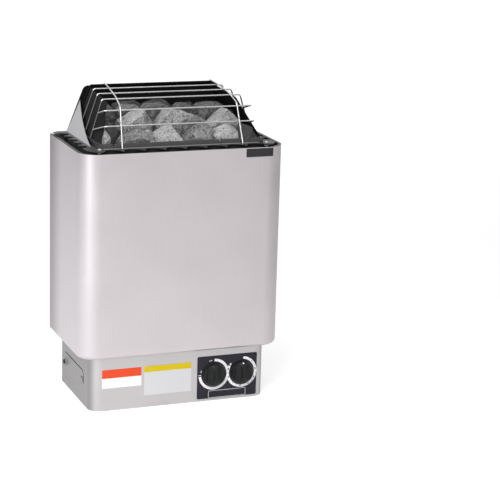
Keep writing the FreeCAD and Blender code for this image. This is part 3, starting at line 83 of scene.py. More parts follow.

# Finish of brushed, painted and moulded surfaces, and the levels of painted shade, dark marks and highlight.
SURFACE_DEPTH = 0.05 * MM
BRUSH_STRETCH = (900.0, 900.0, 14.0)
BRUSH_GLOSS = 0.08
PAINTED_DARK_COLOUR = (0.012, 0.012, 0.012)
PAINTED_SHADE_LEVEL = 0.56
HIGHLIGHT_LEVEL = 4.0
LEG_SHADE_LEVEL = 0.2

# Shape and tone of the stones, and how far their dust and painted shade reach.
STONE_SEED = 5
BURIED_TONE = 0.3
DUST_AND_SHADE_DROP = 42.0 * MM
CREVICE_REACH = 8.0 * MM
HIDDEN_LEVEL = RIM_LEVEL - 12.0 * MM
HIDDEN_FACETS = 3.5
SPLIT_ROUNDS = 7
ROW_FRONT_PLAY = (-2.0, 6.0)
ROW_BACK_PLAY = (-4.0, 4.0)
CREST_PLACE = (0.15, 0.4)
SHOULDER_DROP = (0.75, 1.3)
SHOULDER_TWIST = (-0.3, 0.3)
SHOULDER_ROOM = 0.3
FRONT_TWIST = (-0.35, 0.35)
FRONT_LEAN = (0.35, 0.7)
CHIP_DEPTHS = (0.62,) * 5 + (0.86,) * 7
LEAST_CHIP = 0.1 * MM
SHELF_STEPS = 5.0
RISER_START = 0.35
RISER_WIDTH = 0.3
HOLLOW_SCALE = 26.0
BREAK_SCALE = 48.0
BREAK_SHIFT = Vector((7.0, 3.0, 1.0))
PIT_SCALE = 190.0
HOLLOW_ROUGH = 1.0
BREAK_ROUGH = 0.8
PIT_ROUGH = 0.9
REST_PRESS = 0.2
HOLLOW_PRESS = 0.35
BREAK_PRESS = 0.75
PIT_PRESS = 0.14
OCTAVE_RATIO = 2.0
OCTAVES = 3
STONE_FLAT_ANGLE = math.radians(1.0)
STONE_SHARP_ANGLE = math.radians(24.0)
STONE_WELD = 0.2 * MM

# Shape of the knobs and of the print on the dial plate.
KNOB_RIM = 8.0 * MM
KNOB_HUB = 9.0 * MM
KNOB_TAPER = 0.13
KNOB_EASE = 0.7 * MM
KNOB_SHARP_ANGLE = math.radians(28.0)
KNOB_FLAT_ANGLE = math.radians(1.5)
INDEX_DEPTH = 9.0 * MM
INDEX_DROP = 4.1 * MM
NUMERAL_SIZE = 5.0 * MM
NUMERAL_WEIGHT = 0.3 * MM
HOURS = 8
HOUR_STEP = 34.0
SCALE_START = 14.0
SCALE_SWEEP = 286.0
TICK_RISE = 1.9 * MM
TICK_WIDTH = 1.0 * MM
TICK_LENGTH = 1.6 * MM
RING_RISE = 1.5
SCALE_RISE = 0.8
ARC_STEP = 3
PRINT_WELD = 0.002 * MM
FRAME_LEFT = 24.0 * MM
FRAME_RIGHT = 23.4 * MM
FRAME_FOOT = 1.2 * MM
FRAME_TOP = 15.4 * MM
FRAME_LINE = 0.7 * MM

# Blank fields of the two box stickers.
STICKER_SPLIT = -75.0 * MM
LEFT_BAND = 66.0 * MM
RIGHT_BAND = 71.5 * MM

# Share of plain white in the floor that the camera sees, what distance adds to it, and what metal mirrors.
NEAR_WHITE = 0.55
FAR_GAIN = 0.15
FAR_START = 0.5
FAR_END = 2.5
MIRRORED_WHITE = 0.2
FILL_LIGHT = 0.18

# Name, place, aim, size, power and colour of each lamp.
HEATER_AIM = (0.0, 0.0, 0.32)
STONES_AIM = (0.0, 0.0, 0.55)
LAMPS = (
    ("key_lamp", (-0.9, -1.6, 2.3), STONES_AIM, (0.8, 0.8), 30.0, WHITE),
    ("overhead_lamp", (-0.1, -0.9, 2.4), STONES_AIM, (0.7, 0.7), 16.0, (1.0, 0.99, 0.99)),
    ("left_lamp", (-2.0, -1.6, 1.0), HEATER_AIM, (1.4, 1.6), 16.0, (0.94, 1.0, 1.0)),
    ("front_lamp", (0.5, -2.4, 0.7), HEATER_AIM, (1.2, 1.0), 1.4, (1.0, 0.96, 0.98)),
    ("floor_front_lamp", (-0.9, -1.7, 1.4), (-0.9, -1.7, 0.0), (0.5, 0.5), 14.0, WHITE),
    ("floor_left_lamp", (-1.4, -0.1, 1.5), (-1.4, -0.1, 0.0), (0.6, 0.6), 17.0, WHITE),
    ("floor_back_lamp", (-0.8, 1.7, 1.6), (-0.8, 1.7, 0.0), (0.7, 0.7), 9.0, (0.94, 0.95, 1.0)),
)

# The cut that outlines the break-out flap on the box's left side, along which shade is painted.
FLAP_LEFT = -170.0 * MM
FLAP_FRONT = -63.6 * MM
FLAP_BACK = 66.4 * MM
FLAP_TOP = 69.0 * MM
FLAP_FOOT = 43.0 * MM
FLAP_BEND = 10.0 * MM
FLAP_NOTCHES = ((53.0 * MM, 19.0 * MM), (48.0 * MM, 9.0 * MM))
CUT_SHADE_WIDTH = 1.3 * MM
DROP_SHADE_WIDTH = 2.2 * MM

ZINC_NODES = ("rear_panel", "box_rear_panel", "bottom_cover", "bottom_cover_screws", "box_top_plate",
              "rim_screws", "rim_nuts", "control_screws", "thermostat_spindle", "timer_spindle",
              "sensor_clip", "rear_screws", "rear_spacers", "wall_rack", "limiter_nut")
# Sheets and grate round the stones, painted near-black as the shade inside the casing.
SHADED_INNER_NODES = ("inner_jacket", "heat_shield", "stone_grate", "grate_supports")
WIRE_NODES = ("guard_front_bar_1", "guard_front_bar_2", "guard_upright_left", "guard_upright_right")
TOP_WIRE_NODES = ("guard_bar_2", "guard_bar_3", "guard_bar_4")
BLACK_METAL_NODES = ("guard_back_plate", "guard_inner_plates", "guard_bar_1")
RAIL_NODES = ("guard_front_rail", "guard_side_rails")
ELEMENT_NODES = ("heating_element_1", "heating_element_2", "heating_element_3")
BRASS_NODES = ("element_nuts", "control_blades", "terminal_screws")
COPPER_NODES = ("neutral_strip", "sensor_bulb", "sensor_capillary")
CERAMIC_NODES = ("element_terminals", "terminal_block")
GREY_PLASTIC_NODES = ("thermostat_body", "timer_body")
BLACK_PLASTIC_NODES = ("cable_gland", "gland_locknut", "limiter_body")

# The heap in millimetres, row by row from the front: the row's front and back, the level of its feet and how
# steeply its stones fall off from their crests, then the left side, right side, top, crest and lightness of
# each stone; the lightness varies at random and falls towards the back rows as painted shade.
STONE_ROWS = (
    (-101, -50, 490, 0.2, (
        (-161, -139, 557, -152, 0.26), (-122, -62, 551, -84, 0.24), (-78, -48, 549, -66, 0.42),
        (-54, 6, 554, -16, 0.46), (2, 70, 556, 46, 0.28), (62, 120, 550, 92, 0.46),
        (118, 162, 550, 132, 0.06))),
    (-66, -8, 506, 0.42, (
        (-150, -104, 562, -132, 0.08), (-106, -38, 576, -56, 0.4), (-38, 62, 579, 4, 0.3),
        (64, 144, 575, 116, 0.38))),
    (-14, 34, 506, 0.16, (
        (-142, -96, 578, -118, 0.14), (-100, -40, 580, -60, 0.2), (-44, 18, 582, -10, 0.16),
        (12, 66, 580, 44, 0.12), (64, 124, 582, 102, 0.16), (118, 150, 568, 130, 0.05))),
    (32, 79, 506, 0.16, (
        (-138, -86, 574, -110, 0.06), (-90, -28, 578, -50, 0.08), (-32, 30, 576, 10, 0.06),
        (26, 84, 578, 62, 0.08), (80, 140, 574, 112, 0.06))),
)


class Term:
    """A shader socket with Python's operators, each of which adds a Math node."""

    def __init__(self, finish, socket):
        self.finish = finish
        self.socket = socket

    def math(self, operation, *others):
        return self.finish.add("ShaderNodeMath", {"operation": operation}, dict(enumerate((self,) + others)))

    def __add__(self, other):
        return self.math("ADD", other)

    __radd__ = __add__

    def __mul__(self, other):
        return self.math("MULTIPLY", other)

    __rmul__ = __mul__

    def __sub__(self, other):
        return self.math("SUBTRACT", other)

    def __rsub__(self, other):
        return self.finish.add("ShaderNodeMath", {"operation": "SUBTRACT"}, {0: other, 1: self})

    def __gt__(self, other):
        return self.math("GREATER_THAN", other)

    def __lt__(self, other):
        return self.math("LESS_THAN", other)

    def between(self, low, high):
        """Smooth step from 0 at low to 1 at high."""
        settings = {"interpolation_type": "SMOOTHSTEP"}
        inputs = {"Value": self, "From Min": low, "From Max": high}
        return self.finish.add("ShaderNodeMapRange", settings, inputs)


class Finish:
    """One material and the nodes that make it."""

    def __init__(self, name):
        self.material = bpy.data.materials.new(name)
        self.material.use_nodes = True
        self.tree = self.material.node_tree
        self.shader = next(node for node in self.tree.nodes if node.type == "BSDF_PRINCIPLED")

    def add(self, kind, settings=None, inputs=None, output=0):
        """Adds a node, sets it, fills its sockets and returns one of its outputs."""
        node = self.tree.nodes.new(kind)
        for setting, value in (settings or {}).items():
            setattr(node, setting, value)
        for socket, value in (inputs or {}).items():
            self.fill(node.inputs[socket], value)
        return Term(self, node.outputs[output])

    def fill(self, socket, value):
        if isinstance(value, Term):
            self.tree.links.new(value.socket, socket)
        else:
            socket.default_value = value

    def place(self):
        return self.add("ShaderNodeTexCoord", output="Object")

    def axes(self, place):
        split = self.add("ShaderNodeSeparateXYZ", None, {0: place})
        node = split.socket.node
        return [Term(self, output) for output in node.outputs]

    def scaled(self, scale):
        """Object coordinates stretched along the three axes."""
        return self.add("ShaderNodeMapping", None, {"Vector": self.place(), "Scale": scale})

    def noise(self, vector, scale, detail=4.0, rough=0.5):
        inputs = {"Vector": vector, "Scale": scale, "Detail": detail, "Roughness": rough}
        return self.add("ShaderNodeTexNoise", None, inputs, "Fac")

    def cells(self, vector, scale):
        """Distance to the nearest of many scattered points."""
        return self.add("ShaderNodeTexVoronoi", None, {"Vector": vector, "Scale": scale}, "Distance")

    def attribute(self, name):
        return self.add("ShaderNodeAttribute", {"attribute_name": name}, None, "Fac")

    def mix(self, share, first, second):
        """Blend of two colours, through the Mix node's colour sockets."""
        inputs = {0: share}
        for socket, colour in ((6, first), (7, second)):
            inputs[socket] = colour if isinstance(colour, Term) else rgba(colour)
        return self.add("ShaderNodeMix", {"data_type": "RGBA"}, inputs, 2)

    def bump(self, height, strength, distance):
        inputs = {"Height": height, "Strength": strength, "Distance": distance}
        return self.add("ShaderNodeBump", None, inputs, "Normal")

    def coat(self, **sockets):
        """Fills the main shader's sockets, named with underscores for blanks."""
        for name, value in sockets.items():
            self.fill(self.shader.inputs[name.replace("_", " ")], value)
        return self.material


def rgba(colour):
    return (*colour, 1.0)


def shade(colour, share):
    """A colour made lighter or darker."""
    return tuple(min(1.0, part * share) for part in colour)


def dress(names, material):
    """Gives frame nodes a finish."""
    for name in names:
        slots = cad_nodes[name].data.materials
        slots.clear()
        slots.append(material)


def new_piece(name, shape, material, body):
    """Makes an object from a bmesh and sets it riding on a body."""
    mesh = bpy.data.meshes.new(name)
    shape.to_mesh(mesh)
    shape.free()
    mesh.validate()
    piece = bpy.data.objects.new(name, mesh)
    bpy.context.scene.collection.objects.link(piece)
    mesh.materials.append(material)
    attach(piece, body)
    return piece


def merged_copy(node):
    """The node's mesh with its loose triangles joined."""
    shape = bmesh.new()
    shape.from_mesh(cad_nodes[node].data)
    bmesh.ops.remove_doubles(shape, verts=shape.verts[:], dist=WELD)
    return shape


def colour_setting(name, description, default):
    return bpy.props.FloatVectorProperty(
        name=name, description=description, subtype="COLOR", size=3, default=default, min=0, max=1)


def length_setting(name, description, default, least=0.0):
    return bpy.props.FloatProperty(
        name=name, description=description, subtype="DISTANCE", default=default, min=least)


class SteelSettings(bpy.types.PropertyGroup):
    casing_colour: colour_setting("Casing", "Colour of the satin steel casing", (0.59, 0.553, 0.572))
    box_colour: colour_setting("Connection box", "Colour of the box under the casing", (0.53, 0.512, 0.516))
    wire_colour: colour_setting("Guard wire", "Colour of the bright guard wire", (0.52, 0.51, 0.51))
    zinc_colour: colour_setting("Zinc plate", "Colour of plated inner sheets and screws", (0.50, 0.51, 0.52))
    # Near-black colour of the sheets round the stones, as painted shade.
    scale_colour: colour_setting(
        "Inner shade", "Colour of the scaled steel round the stones", (0.02, 0.019, 0.019))
    rail_colour: colour_setting("Rails", "Colour of the guard's grey rails", (0.10, 0.10, 0.102))
    wing_colour: colour_setting("Side wings", "Colour of the guard's outer wings", (0.45, 0.447, 0.462))
    enamel_colour: colour_setting(
        "Black enamel", "Colour of the guard's inner sheets", (0.004, 0.004, 0.0045))
    comb_colour: colour_setting("Vent comb", "Colour of the dark comb under the guard", (0.02, 0.02, 0.021))


class StoneSettings(bpy.types.PropertyGroup):
    light: colour_setting("Light grain", "Colour of the stones' light grains", (0.40, 0.40, 0.396))
    dark: colour_setting("Dark grain", "Colour of the stones' dark grains", (0.03, 0.03, 0.031))
    edge_round: length_setting("Worn edge", "Width of the stones' worn edges", 2.4 * MM)
    facet: length_setting("Facet", "Longest edge of a stone's facets", 3.6 * MM, least=1.0 * MM)
    spacing: bpy.props.FloatProperty(
        name="Spacing", description="Size of each buried stone as a share of its room", default=0.94,
        min=0.5, max=1.0)
    roughness: length_setting("Roughness", "Depth of the stones' hollows", 3.0 * MM)


class DialSettings(bpy.types.PropertyGroup):
    plate_colour: colour_setting("Plate", "Colour of the dial plate", (0.020, 0.0185, 0.028))
    print_colour: colour_setting("Print", "Colour of the print on the dial plate", (0.86, 0.85, 0.88))
    knob_colour: colour_setting("Knobs", "Colour of the knobs", (0.009, 0.0095, 0.010))
    ring_radius: length_setting("Ring radius", "Outer radius of the printed rings", 32.0 * MM)
    ring_width: length_setting("Ring width", "Width of the printed rings", 5.4 * MM)
    print_height: length_setting("Print height", "How far the print stands off the plate", 0.08 * MM)


class StageSettings(bpy.types.PropertyGroup):
    camera_place: bpy.props.FloatVectorProperty(
        name="Camera", description="Place of the camera", subtype="TRANSLATION", size=3,
        default=(-1.1081, -3.2305, 1.1647))
    camera_yaw: bpy.props.FloatProperty(
        name="Yaw", description="Turn of the view to the left of straight ahead", subtype="ANGLE",
        default=math.radians(-21.8437))
    camera_pitch: bpy.props.FloatProperty(
        name="Pitch", description="Downward tilt of the view", subtype="ANGLE", default=math.radians(14.3909))
    camera_roll: bpy.props.FloatProperty(
        name="Roll", description="Roll of the view", subtype="ANGLE", default=math.radians(1.6987))
    lens: bpy.props.FloatProperty(
        name="Lens", description="Focal length on a 36 mm sensor", subtype="DISTANCE_CAMERA",
        default=127.731, min=1)
    floor_colour: colour_setting("Floor", "Colour of the floor", (0.9, 0.9, 0.9))
    floor_glow: bpy.props.FloatProperty(
        name="Floor glow", description="White that the camera sees on the floor, over its shadow",
        default=1.4, min=0)


def flap_scorch(finish):
    """Mask of painted shade beside the flap's cut, along its outline, its drop and its notches."""
    across, deep, up = finish.axes(finish.place())
    before = (FLAP_FRONT + FLAP_BEND - deep).math("MAXIMUM", 0.0)
    above = (up - (FLAP_TOP - FLAP_BEND)).math("MAXIMUM", 0.0)
    outline = ((before * before + above * above).math("SQRT") - FLAP_BEND).math("ABSOLUTE")
    drop = ((deep - FLAP_FRONT).math("ABSOLUTE") < DROP_SHADE_WIDTH) * (up < FLAP_TOP - FLAP_BEND)
    mask = (outline < CUT_SHADE_WIDTH).math("MAXIMUM", drop) * (up > FLAP_FOOT) * (deep < FLAP_BACK)
    for level, length in FLAP_NOTCHES:
        line = (up - level).math("ABSOLUTE") < CUT_SHADE_WIDTH
        notch = line * (deep > FLAP_FRONT) * (deep < FLAP_FRONT + length)
        mask = mask.math("MAXIMUM", notch)
    return mask * (across < FLAP_LEFT)


def side_cloud(finish):
    """Mask of painted shade on the box's side sheets, which darkens them."""
    across, _, _ = finish.axes(finish.place())
    return across.math("ABSOLUTE").between(BOX_SIDE - BOX_SHADE_WIDTH, BOX_SIDE)


def wall_cloud(finish):
    """Mask of painted shade on the casing's side sheets, darker towards the wall."""
    across, deep, _ = finish.axes(finish.place())
    return (across.math("ABSOLUTE") > CASING_SIDE) * deep.between(WALL_SHADE_START, WALL_SHADE_END)


def rim_scorch(finish):
    """Mask of the casing's top rim, which is painted near-black."""
    _, _, up = finish.axes(finish.place())
    return up > RIM_LEVEL


def rail_wear(finish):
    """Mask of a painted highlight along the foot of the guard's front rail."""
    across, _, up = finish.axes(finish.place())
    return (up < RAIL_FOOT + RAIL_HIGHLIGHT_HEIGHT) * (across.math("ABSOLUTE") < RAIL_STRIP_HALF)


def leg_tarnish(finish):
    """Mask of painted shade on the legs of the guard's top bars, which stand higher towards the back."""
    _, deep, up = finish.axes(finish.place())
    level = up - deep * LEG_SLOPE
    return level.between(LEG_LEVEL + LEG_FADE, LEG_LEVEL)


def brushed(name, colour, rough, grain, bump, painted_dark=None, painted_shade=None, painted_highlight=None):
    """Steel with a fine vertical grain, faint clouding and a varying gloss, and optional painted shade, dark
    marks and highlight.
    """
    finish = Finish(name)
    strokes = finish.noise(finish.scaled(BRUSH_STRETCH), scale=1.0, detail=3.0, rough=0.6)
    clouds = finish.noise(finish.place(), scale=9.0, detail=3.0)
    tone = strokes * grain + clouds * 0.5
    colours = finish.mix(tone.between(0.15, 0.85), shade(colour, 0.93), shade(colour, 1.06))
    # Painted shade: the mask darkens the colour.
    if painted_shade:
        colours = finish.mix(painted_shade(finish), colours, shade(colour, PAINTED_SHADE_LEVEL))
    # Painted dark marks: the mask turns the colour near-black.
    if painted_dark:
        colours = finish.mix(painted_dark(finish), colours, PAINTED_DARK_COLOUR)
    # Painted highlight: the mask lightens the colour.
    if painted_highlight:
        colours = finish.mix(painted_highlight(finish), colours, shade(colour, HIGHLIGHT_LEVEL))
    gloss = clouds * BRUSH_GLOSS + strokes * BRUSH_GLOSS + (rough - BRUSH_GLOSS)
    height = strokes * 0.6 + clouds * 0.4
    return finish.coat(Base_Color=colours, Metallic=1.0, Roughness=gloss,
                       Normal=finish.bump(height, bump, SURFACE_DEPTH))


def painted(name, colour, rough, pit, gloss=0.5):
    """Paint or enamel with a fine orange-peel surface."""
    finish = Finish(name)
    peel = finish.noise(finish.place(), scale=700.0, detail=2.0)
    clouds = finish.noise(finish.place(), scale=14.0, detail=3.0)
    colours = finish.mix(clouds.between(0.3, 0.7), shade(colour, 0.85), shade(colour, 1.15))
    return finish.coat(Base_Color=colours, Roughness=clouds * 0.12 + (rough - 0.06),
                       Specular_IOR_Level=gloss, Normal=finish.bump(peel, pit, SURFACE_DEPTH))


def plastic(name, colour, rough, gloss=0.5):
    """Moulded plastic with a fine spark-eroded grain."""
    finish = Finish(name)
    grain = finish.noise(finish.place(), scale=1600.0, detail=2.0)
    clouds = finish.noise(finish.place(), scale=60.0, detail=2.0)
    colours = finish.mix(clouds.between(0.3, 0.7), shade(colour, 0.9), shade(colour, 1.12))
    return finish.coat(Base_Color=colours, Roughness=grain * 0.1 + (rough - 0.05),
                       Specular_IOR_Level=gloss, Normal=finish.bump(grain, 0.12, SURFACE_DEPTH))


def plain_metal(name, colour, rough, painted_dark=None):
    """Drawn or turned metal with spotted tarnish."""
    finish = Finish(name)
    spots = finish.noise(finish.place(), scale=120.0, rough=0.6)
    colours = finish.mix(spots.between(0.35, 0.75), colour, shade(colour, 0.8))
    # Painted shade: the mask darkens the colour.
    if painted_dark:
        colours = finish.mix(painted_dark(finish), colours, shade(colour, LEG_SHADE_LEVEL))
    return finish.coat(Base_Color=colours, Metallic=1.0, Roughness=spots * 0.2 + (rough - 0.1),
                       Normal=finish.bump(spots, 0.08, SURFACE_DEPTH))


class SAUNA_OT_steel(bpy.types.Operator):
    """Finishes the casing, the connection box and the plated sheets"""
    bl_idname = "sauna.steel"
    bl_label = "Steel sheets"

    def execute(self, context):
        steel = context.scene.sauna_steel
        # The casing's top rim is painted near-black, and its side sheets get painted shade towards the wall.
        satin = brushed("satin_steel", tuple(steel.casing_colour), rough=0.38, grain=0.5, bump=0.05,
                        painted_dark=rim_scorch, painted_shade=wall_cloud)
        # The box gets painted shade along the flap's cut and on its side sheets.
        box = brushed("box_steel", tuple(steel.box_colour), rough=0.42, grain=0.35, bump=0.04,
                      painted_dark=flap_scorch, painted_shade=side_cloud)
        zinc = plain_metal("zinc_plate", tuple(steel.zinc_colour), rough=0.42)
        # The sheets round the stones are painted near-black, as the shade inside the casing.
        scale = painted("inner_shade_steel", tuple(steel.scale_colour), rough=0.75, pit=0.3, gloss=0.15)
        dress(("outer_casing",), satin)
        dress(("lower_box_shell",), box)
        dress(ZINC_NODES, zinc)
        dress(SHADED_INNER_NODES, scale)
        return {"FINISHED"}


class SAUNA_OT_guard(bpy.types.Operator):
    """Finishes the wire guard, its plates and the vent comb"""
    bl_idname = "sauna.guard"
    bl_label = "Stone guard"

    def execute(self, context):
        steel = context.scene.sauna_steel
        wire = plain_metal("bright_wire", tuple(steel.wire_colour), rough=0.3)
        # The top bars' legs get painted shade.
        top_wire = plain_metal("leg_shaded_wire", tuple(steel.wire_colour), rough=0.3, painted_dark=leg_tarnish)
        # The rail's foot gets a painted highlight.
        rail = brushed("rail_steel", tuple(steel.rail_colour), rough=0.45, grain=0.5, bump=0.05,
                       painted_highlight=rail_wear)
        wing = brushed("wing_steel", tuple(steel.wing_colour), rough=0.4, grain=0.4, bump=0.04)
        enamel = painted("black_enamel", tuple(steel.enamel_colour), rough=0.7, pit=0.15, gloss=0.08)
        comb = painted("comb_enamel", tuple(steel.comb_colour), rough=0.45, pit=0.15, gloss=0.4)
        dress(WIRE_NODES, wire)
        dress(TOP_WIRE_NODES, top_wire)
        dress(RAIL_NODES, rail)
        dress(("guard_wings",), wing)
        dress(BLACK_METAL_NODES, enamel)
        dress(("vent_comb",), comb)
        return {"FINISHED"}


def rock_finish(stones):
    """Dark igneous stone: salt-and-pepper grain, patches, pale worn edges, and painted shade in hollows,
    crevices, feet and back rows.
    """
    finish = Finish("rock")
    place = finish.place()
    light = tuple(stones.light)
    dark = tuple(stones.dark)
    grain = finish.noise(place, scale=260.0, detail=6.0, rough=0.75)
    fine = finish.noise(place, scale=720.0, rough=0.7)
    flecks = finish.cells(place, scale=430.0)
    patches = finish.noise(place, scale=34.0, rough=0.6)
    mottle = finish.noise(place, scale=120.0, detail=3.0, rough=0.6)
    tone = finish.attribute("tone")
    worn = finish.attribute("worn")
    depth = finish.attribute("hollow")
    lift = finish.attribute("lift")
    crevice_shade = finish.attribute("crevice_shade")
    speckle = grain.between(0.43, 0.57) * 0.46 + mottle.between(0.42, 0.58) * 0.28
    speckle = speckle + fine.between(0.4, 0.6) * 0.2 + patches.between(0.3, 0.7) * 0.16
    # Crests lighter and feet darker, as dust and painted shade; tone darkens the back rows as painted shade.
    clean = tone * (lift * 0.5 + 0.3) + speckle * (tone + 0.3) + worn * tone * 1.1
    # Hollows and near contacts between stones are darkened as painted shade.
    share = clean - depth * 0.15 - 0.3 - crevice_shade * 0.3
    body = finish.mix(share, dark, light)
    speckled = finish.mix((flecks < 0.24) * tone.between(0.1, 0.4) * 0.8, body, shade(light, 1.5))
    pitted = finish.mix(grain.between(0.45, 0.36) * 0.8, speckled, shade(dark, 0.4))
    height = grain * 0.8 + patches * 0.9 + fine * 0.3 + flecks * 0.2
    return finish.coat(Base_Color=pitted, Roughness=0.92 - flecks * 0.15,
                       Normal=finish.bump(height, strength=0.8, distance=1.4 * MM))


def islands(shape):
    """Lists the vertices of each separate lump, in the mesh's own order."""
    seen = set()
    groups = []
    for start in shape.verts:
        if start in seen:
            continue
        seen.add(start)
        stack = [start]
        group = []
        while stack:
            vert = stack.pop()
            group.append(vert)
            for edge in vert.link_edges:
                other = edge.other_vert(vert)
                if other not in seen:
                    seen.add(other)
                    stack.append(other)
        groups.append(group)
    return sorted(groups, key=lambda group: tuple(sum((vert.co for vert in group), Vector()) / len(group)))


def refined(shape, longest):
    """Splits edges over the given length, or over a multiple of it where the stones are hidden."""
    for _ in range(SPLIT_ROUNDS):
        edges = []
        for edge in shape.edges:
            hidden = max(vert.co.z for vert in edge.verts) < HIDDEN_LEVEL
            if edge.calc_length() > longest * (HIDDEN_FACETS if hidden else 1.0):
                edges.append(edge)
        if not edges:
            return
        bmesh.ops.subdivide_edges(shape, edges=edges, cuts=1)
        bmesh.ops.triangulate(shape, faces=shape.faces[:])


def shelf(value, steps):
    """Turns a slope into broken steps with short risers."""
    level = value * steps
    whole = math.floor(level)
    rise = min(1.0, max(0.0, (level - whole - RISER_START) / RISER_WIDTH))
    return (whole + rise * rise * (3.0 - 2.0 * rise)) / steps


def grit(place, scale, rough):
    """Fractal noise at a place, about -1 to 1."""
    return noise.fractal(place * scale, rough, OCTAVE_RATIO, OCTAVES)


def roughened(shape, depth):
    """Presses hollows, broken steps and pits into the stones, never outwards."""
    shape.normal_update()
    hollow = shape.verts.layers.float.new("hollow")
    moves = []
    for vert in shape.verts:
        broad = grit(vert.co, HOLLOW_SCALE, HOLLOW_ROUGH)
        slope = 0.5 + 0.5 * grit(vert.co * BREAK_SCALE + BREAK_SHIFT, 1.0, BREAK_ROUGH)
        broken = 1.0 - shelf(slope, SHELF_STEPS)
        fine = grit(vert.co, PIT_SCALE, PIT_ROUGH)
        press = max(0.0, REST_PRESS + HOLLOW_PRESS * broad + BREAK_PRESS * broken + PIT_PRESS * fine)
        # The press is kept for the painted shade in the hollows.
        vert[hollow] = min(1.0, press)
        moves.append((vert, vert.normal * (-depth * press)))
    for vert, move in moves:
        vert.co += move


def chipped(shape, point, normal):
    """Cuts a lump off a convex stone and closes the cut."""
    if max((vert.co - point).dot(normal) for vert in shape.verts) < LEAST_CHIP:
        return
    geometry = [*shape.verts, *shape.edges, *shape.faces]
    cut = bmesh.ops.bisect_plane(shape, geom=geometry, dist=WELD, plane_co=point, plane_no=normal,
                                 clear_outer=True)
    rim = [part for part in cut["geom_cut"] if isinstance(part, bmesh.types.BMEdge)]
    bmesh.ops.edgeloop_fill(shape, edges=rim)


def rock(low, high, crest, fall, walls, dice):
    """A broken rock in a block: a crest, shoulders, a leaning front and chips, cut by the heap's walls."""
    shape = bmesh.new()
    size = high - low
    middle = (low + high) / 2
    block = Matrix.Translation(middle) @ Matrix.Diagonal((*size, 1.0))
    bmesh.ops.create_cube(shape, size=1.0, matrix=block)
    top = Vector((crest, low.y + size.y * dice.uniform(*CREST_PLACE), high.z))
    for side, room in ((-1, crest - low.x), (1, high.x - crest)):
        drop = size.z * fall * dice.uniform(*SHOULDER_DROP)
        twist = dice.uniform(*SHOULDER_TWIST) * room
        shoulder = Vector((side * drop, twist, max(room, SHOULDER_ROOM * size.x)))
        chipped(shape, top, shoulder.normalized())
    front = Vector((dice.uniform(*FRONT_TWIST), -1.0, dice.uniform(*FRONT_LEAN)))
    chipped(shape, top, front.normalized())
    for deepest in CHIP_DEPTHS:
        normal = Vector([dice.uniform(-1.0, 1.0) for _ in range(3)]).normalized()
        reach = max((vert.co - middle).dot(normal) for vert in shape.verts)
        place = middle + normal * (reach * dice.uniform(deepest, 0.5 + 0.5 * deepest))
        chipped(shape, place, normal)
    for point, normal in walls:
        chipped(shape, point, normal)
    return shape


def heap_walls(shape):
    """Planes round the frame's whole heap, as points and outward normals."""
    hull = bmesh.new()
    for vert in shape.verts:
        hull.verts.new(vert.co)
    bmesh.ops.convex_hull(hull, input=hull.verts[:])
    middle = sum((vert.co for vert in hull.verts), Vector()) / len(hull.verts)
    walls = []
    for face in hull.faces:
        face.normal_update()
        point = face.calc_center_median()
        outward = face.normal if face.normal.dot(point - middle) > 0.0 else -face.normal
        walls.append((point, outward.copy()))
    hull.free()
    return walls


def without_heap(shape, level):
    """Leaves only the stones whose middle lies below a level."""
    for group in islands(shape):
        middle = sum((vert.co for vert in group), Vector()) / len(group)
        if middle.z > level:
            bmesh.ops.delete(shape, geom=group, context="VERTS")


def set_apart(shape, share):
    """Shrinks each stone about its own middle, so that dark gaps open between them."""
    for group in islands(shape):
        middle = sum((vert.co for vert in group), Vector()) / len(group)
        for vert in group:
            vert.co = middle + (vert.co - middle) * share


def add_rocks(shape, walls):
    """Adds the visible rows of rocks, each with its tone."""
    dice = random.Random(STONE_SEED)
    for front, back, foot, fall, stones in STONE_ROWS:
        for left, right, top, crest, light in stones:
            low = Vector((left, front + dice.uniform(*ROW_FRONT_PLAY), foot)) * MM
            high = Vector((right, back + dice.uniform(*ROW_BACK_PLAY), top)) * MM
            lump = rock(low, high, crest * MM, fall, walls, dice)
            # Each stone's lightness varies at random and falls towards the back rows as painted shade.
            tone = lump.verts.layers.float.new("tone")
            for vert in lump.verts:
                vert[tone] = light
            mesh = bpy.data.meshes.new("rock")
            lump.to_mesh(mesh)
            lump.free()
            shape.from_mesh(mesh)
            bpy.data.meshes.remove(mesh)


def mark_lift(shape):
    """Marks how near each point lies to its own stone's crest, so that the feet are darkened, partly as dust
    and partly as painted shade.
    """
    lift = shape.verts.layers.float.new("lift")
    for group in islands(shape):
        top = max(vert.co.z for vert in group)
        for vert in group:
            vert[lift] = max(0.0, 1.0 - (top - vert.co.z) / DUST_AND_SHADE_DROP)


def mark_crevices(shape):
    """Marks how near each point lies to another stone, for the painted shade between stones."""
    crevice_shade = shape.verts.layers.float.new("crevice_shade")
    owner = {}
    for number, group in enumerate(islands(shape)):
        for vert in group:
            owner[vert] = number
    verts = shape.verts[:]
    tree = kdtree.KDTree(len(verts))
    for place, vert in enumerate(verts):
        tree.insert(vert.co, place)
    tree.balance()
    for vert in (vert for vert in verts if vert.co.z > RIM_LEVEL):
        for _, place, distance in tree.find_range(vert.co, CREVICE_REACH):
            if owner[verts[place]] != owner[vert]:
                vert[crevice_shade] = max(vert[crevice_shade], 1.0 - distance / CREVICE_REACH)


def sharpened(shape, angle):
    """Marks the broken edges sharp and shades the rest smooth."""
    shape.normal_update()
    for face in shape.faces:
        face.smooth = True
    for edge in shape.edges:
        edge.smooth = edge.calc_face_angle(0.0) < angle


